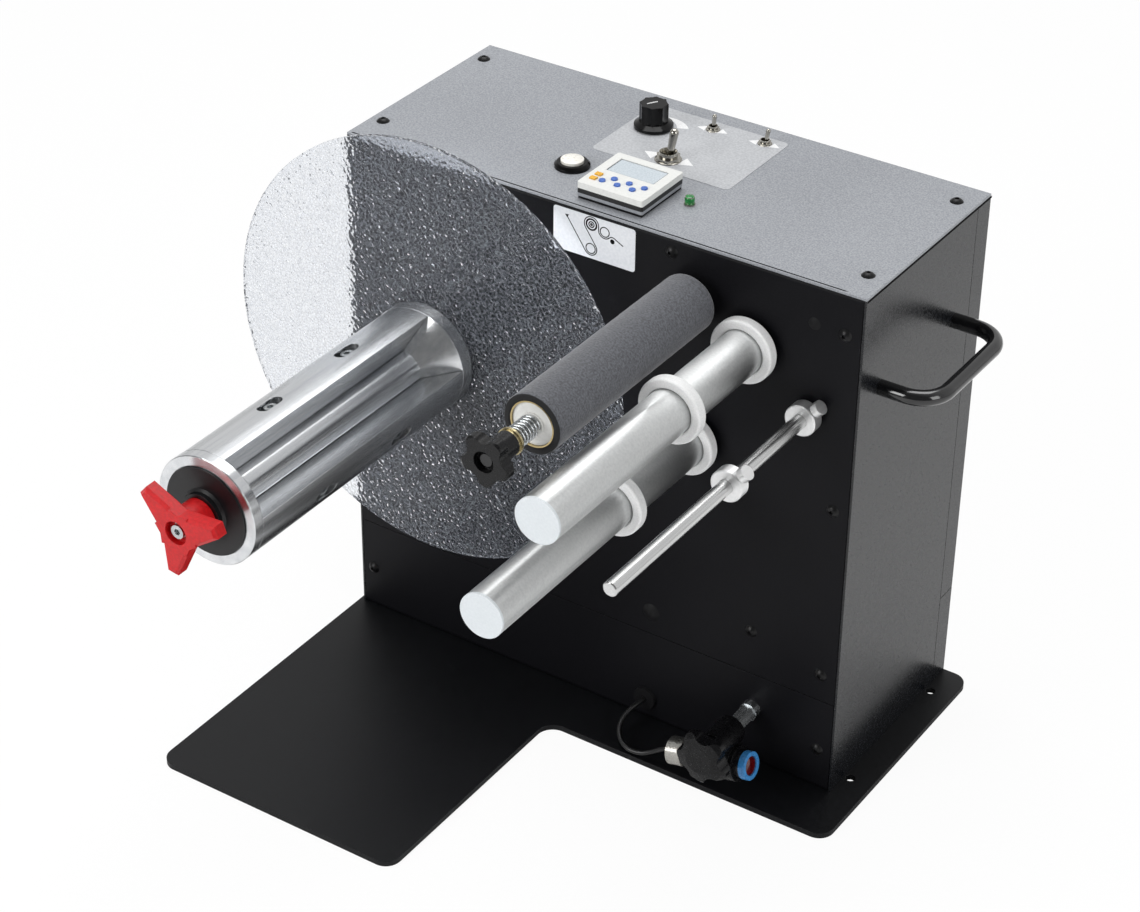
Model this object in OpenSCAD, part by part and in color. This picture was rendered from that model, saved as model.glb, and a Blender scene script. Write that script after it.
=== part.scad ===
// Label rewinder: a sheet-steel cabinet on a base plate, with an expanding core chuck,
// a sprung foam roller, two guide rollers, an edge rod and a label sensor on its front.
// Millimetres. The origin lies under the spindle axis, on the underside of the base plate,
// in the plane of the front panel. +X runs right along the front, +Y to the rear, +Z up.

/* [Cabinet] */
// Width of the cabinet across the front
cabinet_w = 382; // [374:1:420]
// Depth of the cabinet from front to rear
cabinet_d = 161; // [158:1:200]
// Height of the cabinet above the base plate
cabinet_h = 372; // [368:1:420]
// Thickness of the sheet-steel panels
sheet_t = 1.5; // [1:0.1:1.8]
// Outer radius of the folded panel edges
bend_r = 2.2; // [2:0.1:3]
// Depth of the folded edges of the front panels
fold_w = 14; // [8:1:16]
// Depth of the wrapped edges of the rear panels
rear_fold_w = 17; // [12:1:24]
// Height of the seam between upper and lower panels above the base plate
seam_h = 70; // [66:1:76]
// Gap at the seams and between the front panels and the sides
seam_gap = 0.5; // [0.3:0.1:0.8]
// Distance from the left side to the spindle axis
spindle_in = 73.7; // [66:0.1:76]

/* [Base plate] */
// Thickness of the base plate
plate_t = 4; // [3:0.5:6]
// Base plate showing at the left of the cabinet
left_margin = 2.7; // [2:0.1:6]
// Base plate showing at the right of the cabinet
right_margin = 20; // [16:1:30]
// Base plate showing in front of the cabinet
front_margin = 42; // [40:1:60]
// Reach of the tongue in front of the cabinet
tongue_reach = 221; // [180:1:260]
// Width of the tongue
tongue_w = 190; // [150:1:220]
// Radius of the outer corners
corner_r = 11; // [6:1:16]
// Radius of the inner corner beside the tongue
inner_corner_r = 12; // [6:1:20]
// Radius of the bench mounting holes
base_hole_r = 3.25; // [2.5:0.25:4]
// Distance of the mounting holes from the right edge
base_hole_in = 15.9; // [12:0.1:16]
// Distance of the front mounting hole behind the front panel
base_hole_y = 20.2; // [15:0.1:30]
// Spacing of the two mounting holes
base_hole_spacing = 113.3; // [100:0.1:120]

/* [Spindle and flange disc] */
// Height of the spindle axis above the underside of the base
spindle_z = 244; // [235:1:250]
// Diameter of the clear flange disc
disc_d = 304.8; // [260:0.1:306]
// Thickness of the flange disc
disc_t = 3; // [2:0.5:4]
// Distance of the disc's front face from the panel
disc_front = 19.5; // [18:0.5:24]
// Radius of the spindle shaft
shaft_r = 10; // [8:0.5:10.5]
// Outer radius of the spindle bearings
bearing_r = 21; // [19:0.5:22]
// Width of each spindle bearing
bearing_w = 12; // [9:0.5:13]

/* [Core chuck] */
// Outer radius of the closed chuck, for a 76 mm label core
chuck_r = 37.2; // [36:0.1:37.6]
// Length of the chuck from the disc to the front of its ring
chuck_len = 222.7; // [200:0.1:240]
// Width of the rear flange of the chuck
flange_w = 9.3; // [7:0.1:12]
// Width of the front ring of the chuck
ring_w = 7.7; // [6:0.1:9]
// Length of the two cones that spread the jaws
cone_len = 15.5; // [14:0.1:18]
// Radius of the hub tube between the cones
hub_r = 14.5; // [13.5:0.1:15.5]
// Angle between a jaw's side wall and its middle plane
jaw_wall_angle = 33.4; // [31:0.1:35]
// Distance from the spindle axis to the line where a jaw's side walls would meet
jaw_apex = 9.1; // [8.5:0.1:10]
// Axial travel of the front cone when the knob is tightened
cone_travel = 2.8; // [1.5:0.1:3]
// Length of the two slots in each jaw
jaw_slot_len = 20; // [16:0.5:22]
// Width of the slots
jaw_slot_w = 9.5; // [9:0.1:11]
// Radius of the red wing knob to its tips
wing_r = 32.5; // [26:0.5:35]
// Thickness of the wings
wing_t = 9.5; // [8:0.5:12]

/* [Foam roller] */
// Sideways place of the foam roller
foam_x = 191; // [189:1:193]
// Height of the foam roller axis
foam_z = 339.6; // [339:0.1:345]
// Outer radius of the foam sleeve
foam_r = 19.4; // [17:0.1:20]
// Length of the foam sleeve
foam_len = 168.2; // [150:0.1:176]
// Outer radius of the brass tube inside the sleeve
core_r = 14.9; // [13.5:0.1:15.5]
// Wall of the brass tube
core_wall = 0.9; // [0.6:0.1:1.2]
// Radius of the fixed roller shafts
axle_r = 4; // [3.5:0.1:4.5]
// Number of coils of the tension spring
spring_coils = 6; // [4:1:7]
// Mean radius of the tension spring
spring_r = 6.4; // [6.2:0.1:7]
// Radius of the spring wire
spring_wire_r = 0.8; // [0.5:0.1:0.9]
// Free space between the roller and the washers
spring_len = 18.8; // [18:0.1:22]
// Radius of the tension knob to its lobes
star_r = 17; // [15:0.5:20]

/* [Guide rollers] */
// Radius of both guide rollers
guide_r = 15; // [14:0.5:16]
// Length of both guide rollers
guide_len = 226.6; // [200:0.1:240]
// Gap between the rollers and the front panel
guide_gap = 4; // [3.4:0.1:4.6]
// Sideways place of the upper guide roller
upper_x = 231.6; // [230:0.1:234]
// Height of the upper guide roller
upper_z = 319.5; // [317:0.1:321]
// Sideways place of the lower guide roller
lower_x = 193.2; // [190:0.1:200]
// Height of the lower guide roller
lower_z = 238.8; // [225:0.1:245]
// Outer radius of the nylon guide collars
collar_r = 21.6; // [19:0.1:22]
// Width of the nylon guide collars
collar_w = 8; // [6:0.5:9]
// Distance of the front collars from the panel
collar_front = 94; // [90:1:110]

/* [Edge rod] */
// Sideways place of the edge rod
rod_x = 275; // [272:0.5:280]
// Height of the edge rod
rod_z = 286; // [270:0.5:290]
// Radius of the edge rod
rod_r = 4.75; // [4:0.05:5]
// Length of the edge rod in front of the panel
rod_len = 223; // [190:1:240]
// Outer radius of the stop collars
stop_r = 10.6; // [9.5:0.1:12]
// Width of the stop collars
stop_w = 9; // [8:0.5:11]
// Distance of the front stop collar from the panel
stop_front = 98.5; // [80:0.5:110]

/* [Carry handle] */
// Radius of the handle rod
handle_r = 5.1; // [4.5:0.1:6]
// Distance between the handle's legs
handle_span = 97; // [90:1:110]
// Distance of the front leg behind the front panel
handle_y = 26.5; // [24:0.5:32]
// Height of the handle above the underside of the base
handle_z = 302.5; // [270:0.5:320]
// Reach of the grip's centre line from the side
handle_reach = 36; // [30:1:45]
// Bend radius of the handle's centre line
handle_bend = 19.5; // [14:0.5:22]

/* [Label sensor] */
// Sideways place of the sensor stud
sensor_x = 246.8; // [244:0.1:250]
// Height of the sensor stud
sensor_z = 46.5; // [44:0.1:50]
// Distance of the sensor barrel from the front panel
sensor_y = 38; // [37:0.5:39]
// Upward tilt of the sensor barrel
sensor_tilt = 12.9; // [11:0.1:15]
// Radius of the sensor barrel
barrel_r = 8.9; // [8:0.1:9.2]
// Radius of the sensor's clamp knob to its lobes
sensor_knob_r = 19.5; // [18:0.5:22]

/* [Top controls] */
// Distance of the counter from the left side
counter_in = 172; // [170:1:176]
// Distance of the counter behind the front panel
counter_y = 9; // [8:1:14]
// Width and depth of the counter's face
counter_w = 48; // [46:1:49]
// Height of the counter above its gasket
counter_h = 9.5; // [8:0.5:12]
// Outer radius of the speed knob's skirt
speed_skirt_r = 13; // [12:0.5:15]
// Height of the speed knob
speed_h = 17.5; // [16:0.5:24]

/* [Hidden] */
$fn = 64;
// Overrun of every cut
cut = 1;
// Radial clearance of what turns or slides on a shaft
fit = 0.05;
// Clearance between neighbours that only lie near each other
seat = 0.3;
// Clearance of a screw or stud in its hole
loose = 0.3;

// Cabinet
left_x = -spindle_in;
right_x = cabinet_w - spindle_in;
top_z = plate_t + cabinet_h;
under_cover_z = top_z - sheet_t;
seam_z = plate_t + seam_h;
side_lip_w = 8;
screw_head_r = 4.4;
screw_head_h = 2.4;
screw_shank_r = 2;
screw_shank_len = 5;
screw_socket_r = 1.5;
screw_socket_depth = 1.3;
plug_r = 6.4;
plug_h = 2.2;
plug_hole_r = 4.5;
small_plug_r = 4.2;
small_plug_hole_r = 2.6;
// Places on the front, as shares of the cabinet's width and of its height above the base plate
front_screw_shares = [[0.648, 0.972], [0.967, 0.923], [0.967, 0.585], [0.966, 0.244], [0.829, 0.279]];
low_screw_shares = [[0.026, 0.085], [0.969, 0.082]];
plug_share = [0.63, 0.2355];
small_plug_share = [0.912, 0.926];
// Places on the top, as shares of the cabinet's width and depth
top_screw_shares = [[0.025, 0.162], [0.025, 0.871], [0.966, 0.865], [0.965, 0.160]];

// Spindle drive
panel_hole_r = 18;
housing_flange_r = 34;
housing_flange_t = 6;
housing_r = 27;
housing_len = 50;
bearing_lip = 3;
bearing_shoulder = 3;
gearbox_w = 62;
gearbox_len = 36;
gearbox_mouth = 26;
motor_r = 27;
motor_len = 58;
output_r = 6;
sleeve_r = 15;
backing_r = 32;
backing_t = 5;
disc_rear_y = -(disc_front - disc_t);
shaft_rear_y = sheet_t + housing_len;
shaft_nose = 44;

// Core chuck
flange_y = -disc_front;
rear_cone_y = flange_y - flange_w;
ring_front_y = flange_y - chuck_len;
ring_rear_y = ring_front_y + ring_w;
front_cone_y = ring_rear_y + cone_len;
cone_lip = 0.5;
cone_base_r = chuck_r - cone_lip;
cone_slope = (cone_base_r - hub_r) / cone_len;
// The jaws ride out along the cones, which leave a play of cone_play square to their faces
cone_play = 0.4;
cone_shift = cone_play * sqrt(1 + cone_slope * cone_slope) / cone_slope;
jaw_axial = cone_travel / 2;
jaw_radial = jaw_axial * cone_slope;
jaw_angles = [100.5, -19.5, 220.5];
jaw_slot_shares = [0.315, 0.69];
jaw_screw_r = 2.5;
jaw_head_r = 4.25;
jaw_head_h = 5;
jaw_floor_r = 28;
jaw_screw_tip_r = 9;
hex_key_r = 2.3;
hex_key_depth = 2.6;
nose_r = 11;
draw_r = 5;
draw_head_r = 4.6;
draw_head_h = 3.4;
draw_len = 42;
end_disc_r = 30;
end_disc_t = 2.3;
end_stand = 1.2;
boss_r = 16;
boss_h = 4.6;
wing_hub_r = 12;
wing_gap = 0.3;
wing_hub_len = 13.2;
wing_tip_w = 8;
wing_root_w = 26;
wing_bevel = 2;
wing_bevel_share = 0.62;
wing_recess_r = 8;
wing_recess_depth = 4.8;
wing_angles = [19.5, 139.5, 259.5];
draw_hole_r = draw_r + loose;
boss_front_y = ring_front_y - end_stand - boss_h;
wing_rear_y = boss_front_y - wing_gap;
wing_front_y = wing_rear_y - wing_hub_len - wing_t;
end_rear_y = ring_front_y - end_stand + end_disc_t;
nose_front_y = end_rear_y + cone_travel + seat;
nose_shoulder_y = front_cone_y + cone_travel + seat;

// Foam roller and its tension
foam_gap = 8;
foam_front_y = -foam_gap - foam_len;
axle_flange_r = 9;
axle_flange_t = 3;
spacer_r = 6;
nut_r = 7.5;
nut_t = 6.5;
stud_r = 3.9;
stud_len = 10;
plug_len = 12;
plug_inset = 1.2;
roller_boss_r = 7.4;
roller_boss_front = 1.6;
spring_end = 0.25;
washer_r = 8.6;
washer_t = 1.5;
tension_travel = 2.5;
knob_gap = 0.3;
star_neck_r = 8;
star_neck_len = 15.6;
star_t = 8.5;
star_recess_r = 6.8;
star_recess_depth = 5;
star_turn = 56;
star_dome = 3;
// Lobe radius, scallop centre and overlap of lobe and scallop, as shares of a star knob's tip radius
star_lobe_share = 0.263;
star_scallop_share = 1.15;
star_merge_share = 0.005;
core_front_y = foam_front_y + plug_inset - roller_boss_front;
spring_rear_y = core_front_y - spring_end;
washer_rear_y = foam_front_y - spring_len - roller_boss_front;
spring_front_y = washer_rear_y + spring_end;
knob_rear_y = washer_rear_y - 2 * washer_t - knob_gap;
axle_front_y = knob_rear_y - star_neck_len - star_t + star_recess_depth / 2;

// Guide rollers
guide_wall = 1.5;
guide_cap_t = 1.6;
guide_spigot = 12;
guide_end_gap = 0.8;
guide_rear_y = -guide_gap;
guide_front_y = guide_rear_y - guide_len;
collar_round = 1.6;
rear_collar_y = guide_rear_y;

// Edge rod
rod_chamfer = 0.7;
stop_chamfer = 0.6;
rear_stop_y = -3;
thumb_head_r = 4.7;
thumb_head_h = 5;
thumb_shank_r = 2;
thumb_angle = 45.6;
thumb_stand = 1.2;

// Handle
handle_bolt_r = 3;
handle_bolt_len = 12;
handle_nut_r = 6.4;
handle_nut_t = 5;

// Sensor
stud_hex_r = 6.2;
stud_hex_rear = 5.5;
stud_hex_len = 17.5;
stud_rod_r = 4;
stud_collar_r = 6.5;
sensor_len = 61;
sensor_reach = 41.8;
sensor_drop = 17.6;
gland_r = 9.6;
gland_len = 11;
ring_r = 9.6;
ring_len = 4.5;
lens_r = 6.6;
lens_depth = 1.2;
nut_len = 4;
barrel_nut_r = 11.4;
clamp_w = 22;
clamp_wall = 3.2;
clamp_rear_y = -(sensor_y - barrel_r - clamp_wall);
clamp_front_y = -(sensor_y + barrel_r + clamp_wall);
clamp_stud_r = 10;
clamp_web_w = 16;
clamp_web_inset = 2;
sensor_knob_gap = 0.4;
sensor_knob_t = 11;
sensor_neck_len = 6;
sensor_star_turn = 49;
stud_front_y = clamp_front_y - sensor_knob_gap - sensor_neck_len - sensor_knob_t / 2;
grommet_x = 164.7;
grommet_z = 19.6;
grommet_r = 8.5;
grommet_h = 2.5;
grommet_neck_r = 6;
cable_r = 1.75;
// Route of the sensor cable, chosen by hand: out of the grommet, round in a loop, into the gland
cable_route = [
    [164.7, -2.5, 19.6], [163.4, -9, 19], [161.8, -15.5, 17.5], [161.4, -22.5, 15], [163, -29.5, 12],
    [167, -35, 9.4], [171.6, -38.2, 8], [177, -40, 7.2], [182.4, -40.3, 7.4], [187, -40, 8.3], [190.1, -39.5, 9.4],
    [194, -38.8, 11.5], [198.5, -38.3, 14.5], [203.6, -38, 18], [209.2, -38, 19.8]
];
cable_sides = 8;

// Top controls
gasket_t = 2;
gasket_in = 0.8;
counter_hole_in = 8;
counter_body_h = 30;
counter_round = 1.4;
window_shares = [[0.13, 0.49], [0.86, 0.87]];
window_depth = 0.5;
key_r = 2.1;
key_h = 2.6;
key_stand = 0.9;
key_travel = 0.5;
key_play = 0.15;
yellow_key_w = 4.4;
yellow_key_d = 3.4;
// Places of the keys on the counter's face, as shares of its width
key_shares = [[0.13, 0.195], [0.13, 0.325],
              [0.26, 0.2], [0.49, 0.2], [0.72, 0.2],
              [0.37, 0.32], [0.6, 0.32], [0.83, 0.32]];
counter_x = left_x + counter_in;
counter_base_z = top_z + gasket_t;
counter_top_z = counter_base_z + counter_h;
speed_place_x = 85.6;
speed_place_y = 118.7;
speed_bore_r = 3.1;
speed_skirt_h = 4;
speed_body_r = 9.6;
speed_flutes = 8;
speed_flute_r = 16;
speed_flute_depth = 1.1;
speed_gap = 1;
button_x = 72.3;
button_y = 43.4;
bezel_r = 11.6;
bezel_h = 3.4;
bezel_bore_r = 7.8;
bezel_neck_r = 9.4;
bezel_neck_len = 16;
button_r = 7.5;
button_stand = 3;
button_len = 9;
button_dome = 1.4;
button_floor = 3;
lamp_x = 160.6;
lamp_y = 41.6;
lamp_r = 3;
lamp_rim_r = 3.6;
lamp_rim_h = 1;
lamp_h = 5.6;
// Toggles: place, bush radius, nut radius, lever length, lever radius, tip radius, lean and ball radius
big_toggle = [117.9, 85, 6, 8.6, 25.5, 1.9, 2.9, 10, 2.6];
left_toggle = [119.4, 137.5, 3.2, 4.6, 13.5, 1.1, 1.5, 4, 1.6];
right_toggle = [157.2, 139.4, 3.2, 4.6, 13.5, 1.1, 1.5, 10, 1.6];
toggle_pivot = 2;
toggle_depth = 9;
bush_wall = 0.5;

// Places a rod along Y: it starts at rear_y and runs to front_y
module rod(r, x, z, rear_y, front_y) {
    translate([x, rear_y, z])
        rotate([90, 0, 0])
            cylinder(r = r, h = rear_y - front_y);
}

// Turns a profile of radius and distance towards the front about an axis along Y
module turned(x, z, rear_y) {
    translate([x, rear_y, z])
        rotate([90, 0, 0])
            rotate_extrude()
                children();
}

// A hexagon nut along Y
module hex_rod(r, x, z, rear_y, front_y) {
    translate([x, rear_y, z])
        rotate([90, 0, 0])
            cylinder(r = r, h = rear_y - front_y, $fn = 6);
}

// A rectangle with round corners from one corner point to the opposite one
module round_box(from, to, r) {
    size = to - from;
    translate(from + [r, 0])
        square([size[0] - 2 * r, size[1]]);
    translate(from + [0, r])
        square([size[0], size[1] - 2 * r]);
    for (x = [from[0] + r, to[0] - r])
        for (y = [from[1] + r, to[1] - r])
            translate([x, y])
                circle(r);
}

// Base plate: one plate with a tongue under the roll
plate_left = left_x - left_margin;
plate_right = right_x + right_margin;
tongue_right = plate_left + tongue_w;

module base_outline() {
    difference() {
        union() {
            round_box([plate_left, -front_margin], [plate_right, cabinet_d], corner_r);
            round_box([plate_left, -tongue_reach], [tongue_right, cabinet_d], corner_r);
            translate([plate_left, cabinet_d - corner_r])
                square(corner_r);
            translate([tongue_right, -front_margin - inner_corner_r])
                square(inner_corner_r);
        }
        translate([tongue_right + inner_corner_r, -front_margin - inner_corner_r])
            circle(inner_corner_r);
        for (y = [base_hole_y, base_hole_y + base_hole_spacing])
            translate([plate_right - base_hole_in, y])
                circle(base_hole_r);
    }
}

module base_plate() {
    color("#15151a")
        linear_extrude(plate_t)
            base_outline();
}

// Side panels: flat sheets with a lip behind the wrapped rear edges
module side_panel(x, lip_x) {
    rear = cabinet_d - rear_fold_w - seam_gap;
    height = under_cover_z - plate_t;
    translate([x, 0, plate_t])
        cube([sheet_t, rear, height]);
    translate([lip_x, rear - side_lip_w, plate_t])
        cube([sheet_t, 2 * side_lip_w, height]);
}

module side_panels() {
    color("#1b1c20") {
        side_panel(left_x, left_x + sheet_t);
        difference() {
            side_panel(right_x - sheet_t, right_x - 2 * sheet_t);
            for (y = [handle_y, handle_y + handle_span])
                translate([right_x - 2 * sheet_t - cut, y, handle_z])
                    rotate([0, 90, 0])
                        cylinder(r = handle_bolt_r + loose, h = 2 * sheet_t + 2 * cut);
        }
    }
}

// Section of a front panel: the web with its folded edge turned to the rear
module fold_section(web_h) {
    inner = bend_r - sheet_t;
    square([sheet_t, web_h - bend_r]);
    translate([bend_r, web_h - sheet_t])
        square([fold_w - bend_r, sheet_t]);
    translate([bend_r, web_h - bend_r])
        intersection() {
            difference() {
                circle(bend_r);
                circle(inner);
            }
            translate([-bend_r, 0])
                square(bend_r);
        }
}

front_left = left_x + sheet_t + seam_gap;
front_right = right_x - sheet_t - seam_gap;

module front_web(web_h) {
    rotate([90, 0, 90])
        linear_extrude(front_right - front_left)
            fold_section(web_h);
}

function front_place(share) = [left_x + share[0] * cabinet_w, plate_t + share[1] * cabinet_h];

module panel_hole(place, r) {
    rod(r, place[0], place[1], sheet_t + cut, -cut);
}

module front_panel_upper() {
    color("#131317")
        difference() {
            translate([front_left, 0, seam_z + seam_gap])
                front_web(under_cover_z - seam_z - seam_gap);
            panel_hole([0, spindle_z], panel_hole_r);
            for (place = [[foam_x, foam_z], [upper_x, upper_z], [lower_x, lower_z], [rod_x, rod_z]])
                panel_hole(place, stud_r + loose);
            for (share = front_screw_shares)
                panel_hole(front_place(share), screw_shank_r + loose);
            panel_hole(front_place(plug_share), plug_hole_r + loose);
            panel_hole(front_place(small_plug_share), small_plug_hole_r + loose);
        }
}

module front_panel_lower() {
    color("#131317")
        difference() {
            translate([front_left, 0, seam_z])
                mirror([0, 0, 1])
                    front_web(seam_h);
            for (share = low_screw_shares)
                panel_hole(front_place(share), screw_shank_r + loose);
            panel_hole([sensor_x, sensor_z], stud_rod_r + loose);
            panel_hole([grommet_x, grommet_z], grommet_neck_r + loose);
        }
}

// Rear panels: two channels whose edges wrap round the sides; the lower one holds the inlet
inlet_x = 250;
inlet_z = 38;
inlet_w = 27;
inlet_h = 20;
inlet_depth = 20;
inlet_rim = 2.5;
inlet_rim_t = 2;
inlet_recess_w = 23;
inlet_recess_h = 16;
inlet_recess_depth = 16;
inlet_pin = [2, 4];
inlet_pin_len = 13;
inlet_pin_x = 7;
inlet_pin_z = 2;

module channel(low_z, high_z) {
    translate([left_x, cabinet_d - sheet_t, low_z])
        cube([cabinet_w, sheet_t, high_z - low_z]);
    for (x = [left_x, right_x - sheet_t])
        translate([x, cabinet_d - rear_fold_w, low_z])
            cube([sheet_t, rear_fold_w, high_z - low_z]);
}

module rear_panels() {
    color("#17181c") {
        channel(seam_z + seam_gap, under_cover_z);
        difference() {
            channel(plate_t, seam_z);
            translate([inlet_x - inlet_w / 2 - seat, cabinet_d - sheet_t - cut, inlet_z - inlet_h / 2 - seat])
                cube([inlet_w + 2 * seat, sheet_t + 2 * cut, inlet_h + 2 * seat]);
        }
    }
}

// Top cover: a flat sheet with cut-outs for the controls
module top_hole(x, y, r) {
    translate([x, y, under_cover_z - cut])
        cylinder(r = r, h = sheet_t + 2 * cut);
}

function top_place(share) = [left_x + share[0] * cabinet_w, share[1] * cabinet_d];

module top_cover() {
    hole_w = counter_w - 2 * counter_hole_in + 2 * seat;
    color("#6f7278")
        difference() {
            translate([left_x, 0, under_cover_z])
                cube([cabinet_w, cabinet_d, sheet_t]);
            for (share = top_screw_shares)
                top_hole(top_place(share)[0], top_place(share)[1], screw_shank_r + loose);
            for (toggle = [big_toggle, left_toggle, right_toggle])
                top_hole(toggle[0], toggle[1], toggle[2] + loose);
            top_hole(speed_place_x, speed_place_y, speed_bush_r + loose);
            top_hole(button_x, button_y, bezel_neck_r + loose);
            top_hole(lamp_x, lamp_y, lamp_r + loose);
            translate([counter_x + counter_hole_in - seat, counter_y + counter_hole_in - seat, under_cover_z - cut])
                cube([hole_w, hole_w, sheet_t + 2 * cut]);
        }
}

// Button-head screw with its head on +Z and the underside of the head at zero
module button_screw() {
    difference() {
        union() {
            rotate_extrude()
                intersection() {
                    square([screw_head_r, screw_head_h]);
                    translate([0, screw_head_h - screw_ball_r])
                        circle(screw_ball_r);
                }
            translate([0, 0, -screw_shank_len])
                cylinder(r = screw_shank_r, h = screw_shank_len);
        }
        translate([0, 0, screw_head_h - screw_socket_depth])
            cylinder(r = screw_socket_r, h = screw_socket_depth + cut, $fn = 6);
    }
}
// Ball radius of the button head, so that the dome ends at the rim
screw_ball_r = (screw_head_r * screw_head_r + screw_head_h * screw_head_h) / (2 * screw_head_h);

module on_front(place) {
    translate([place[0], 0, place[1]])
        rotate([90, 0, 0])
            children();
}

module panel_screws() {
    color("#0c0c0e") {
        for (share = top_screw_shares)
            translate([top_place(share)[0], top_place(share)[1], top_z])
                button_screw();
        for (share = concat(front_screw_shares, low_screw_shares))
            on_front(front_place(share))
                button_screw();
    }
}

// Black rubber: two dome plugs, the cable grommet and the counter's gasket
module dome_plug(r, h, neck_r) {
    ball = (r * r + h * h) / (2 * h);
    rotate_extrude()
        intersection() {
            square([r, h]);
            translate([0, h - ball])
                circle(ball);
        }
    translate([0, 0, -2 * sheet_t])
        cylinder(r = neck_r, h = 2 * sheet_t);
}

module rubber_seals() {
    color("#101012") {
        on_front(front_place(plug_share))
            dome_plug(plug_r, plug_h, plug_hole_r);
        on_front(front_place(small_plug_share))
            dome_plug(small_plug_r, plug_h / 2, small_plug_hole_r);
        on_front([grommet_x, grommet_z]) {
            rotate_extrude()
                intersection() {
                    square([grommet_r, grommet_h]);
                    circle(grommet_r);
                }
            translate([0, 0, -2 * sheet_t])
                cylinder(r = grommet_neck_r, h = 2 * sheet_t);
        }
        difference() {
            translate([counter_x + gasket_in, counter_y + gasket_in, top_z])
                cube([counter_w - 2 * gasket_in, counter_w - 2 * gasket_in, gasket_t]);
            translate([counter_x + counter_hole_in - seat, counter_y + counter_hole_in - seat, top_z - cut])
                cube([counter_w - 2 * counter_hole_in + 2 * seat, counter_w - 2 * counter_hole_in + 2 * seat,
                      gasket_t + 2 * cut]);
        }
    }
}

// Carry handle: one bent rod bolted through the right side
module handle_bend_part() {
    rotate_extrude(angle = 90)
        translate([handle_bend, 0])
            circle(handle_r);
}

module carry_handle() {
    leg = handle_reach - handle_bend;
    grip = handle_span - 2 * handle_bend;
    color("#0e0e10")
        translate([right_x, handle_y, handle_z]) {
            for (y = [0, handle_span]) {
                translate([0, y, 0])
                    rotate([0, 90, 0])
                        cylinder(r = handle_r, h = leg);
                translate([-handle_bolt_len, y, 0])
                    rotate([0, 90, 0])
                        cylinder(r = handle_bolt_r, h = handle_bolt_len);
                translate([-2 * sheet_t - handle_nut_t, y, 0])
                    rotate([0, 90, 0])
                        cylinder(r = handle_nut_r, h = handle_nut_t, $fn = 6);
            }
            translate([leg, handle_bend, 0])
                rotate([0, 0, -90])
                    handle_bend_part();
            translate([leg, handle_span - handle_bend, 0])
                handle_bend_part();
            translate([handle_reach, handle_bend, 0])
                rotate([-90, 0, 0])
                    cylinder(r = handle_r, h = grip);
        }
}

// Spindle drive: bearing housing with two bearings, and a gear motor behind it
module bearing(rear_y) {
    difference() {
        rod(bearing_r, 0, spindle_z, rear_y, rear_y - bearing_w);
        rod(shaft_r + fit, 0, spindle_z, rear_y + cut, rear_y - bearing_w - cut);
    }
}

front_bearing_rear = sheet_t + bearing_lip + bearing_w;
rear_bearing_rear = sheet_t + housing_len - bearing_lip;

module spindle_drive() {
    housing_rear = sheet_t + housing_len;
    color("#8c8f94") {
        difference() {
            union() {
                rod(housing_flange_r, 0, spindle_z, sheet_t + housing_flange_t, sheet_t);
                rod(housing_r, 0, spindle_z, housing_rear, sheet_t);
            }
            rod(bearing_r + fit, 0, spindle_z, front_bearing_rear, sheet_t - cut);
            rod(bearing_r + fit, 0, spindle_z, housing_rear + cut, rear_bearing_rear - bearing_w);
            rod(bearing_r - bearing_shoulder, 0, spindle_z, housing_rear, sheet_t);
        }
        bearing(front_bearing_rear);
        bearing(rear_bearing_rear);
        difference() {
            union() {
                translate([-gearbox_w / 2, housing_rear, spindle_z - gearbox_w / 2])
                    cube([gearbox_w, gearbox_len, gearbox_w]);
                rod(motor_r, 0, spindle_z, housing_rear + gearbox_len + motor_len, housing_rear + gearbox_len);
            }
            rod(output_r + fit, 0, spindle_z, housing_rear + gearbox_mouth, housing_rear - cut);
        }
    }
}

// Power unit: the inlet in the rear panel, the supply and the control board on the base plate
supply_size = [110, 62, 38];
supply_x = 20;
board_size = [90, 70, 1.6];
board_x = 150;
board_post_r = 3;
board_post_h = 8;
inner_y = 40;

module power_unit() {
    color("#3a4a3c") {
        difference() {
            union() {
                translate([inlet_x - inlet_w / 2, cabinet_d - inlet_depth, inlet_z - inlet_h / 2])
                    cube([inlet_w, inlet_depth, inlet_h]);
                translate([inlet_x - inlet_w / 2 - inlet_rim, cabinet_d, inlet_z - inlet_h / 2 - inlet_rim])
                    cube([inlet_w + 2 * inlet_rim, inlet_rim_t, inlet_h + 2 * inlet_rim]);
            }
            translate([inlet_x - inlet_recess_w / 2, cabinet_d + inlet_rim_t - inlet_recess_depth,
                       inlet_z - inlet_recess_h / 2])
                cube([inlet_recess_w, inlet_recess_depth + cut, inlet_recess_h]);
        }
        for (place = [[-1, -1], [0, 1], [1, -1]])
            translate([inlet_x + place[0] * inlet_pin_x - inlet_pin[0] / 2,
                       cabinet_d + inlet_rim_t - inlet_recess_depth,
                       inlet_z + place[1] * inlet_pin_z - inlet_pin[1] / 2])
                cube([inlet_pin[0], inlet_pin_len, inlet_pin[1]]);
        translate([supply_x, inner_y, plate_t])
            cube(supply_size);
        translate([board_x, inner_y, plate_t + board_post_h])
            cube(board_size);
        for (x = [board_post_r, board_size[0] - board_post_r])
            for (y = [board_post_r, board_size[1] - board_post_r])
                translate([board_x + x, inner_y + y, plate_t])
                    cylinder(r = board_post_r, h = board_post_h);
    }
}

// Fixed shafts: each has a flange against the panel, a stud through it and a nut behind it
module fixed_shaft(x, z, r, front_y) {
    rod(r, x, z, 0, front_y);
    rod(stud_r, x, z, stud_len, 0);
    hex_rod(nut_r, x, z, sheet_t + nut_t, sheet_t);
}

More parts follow.
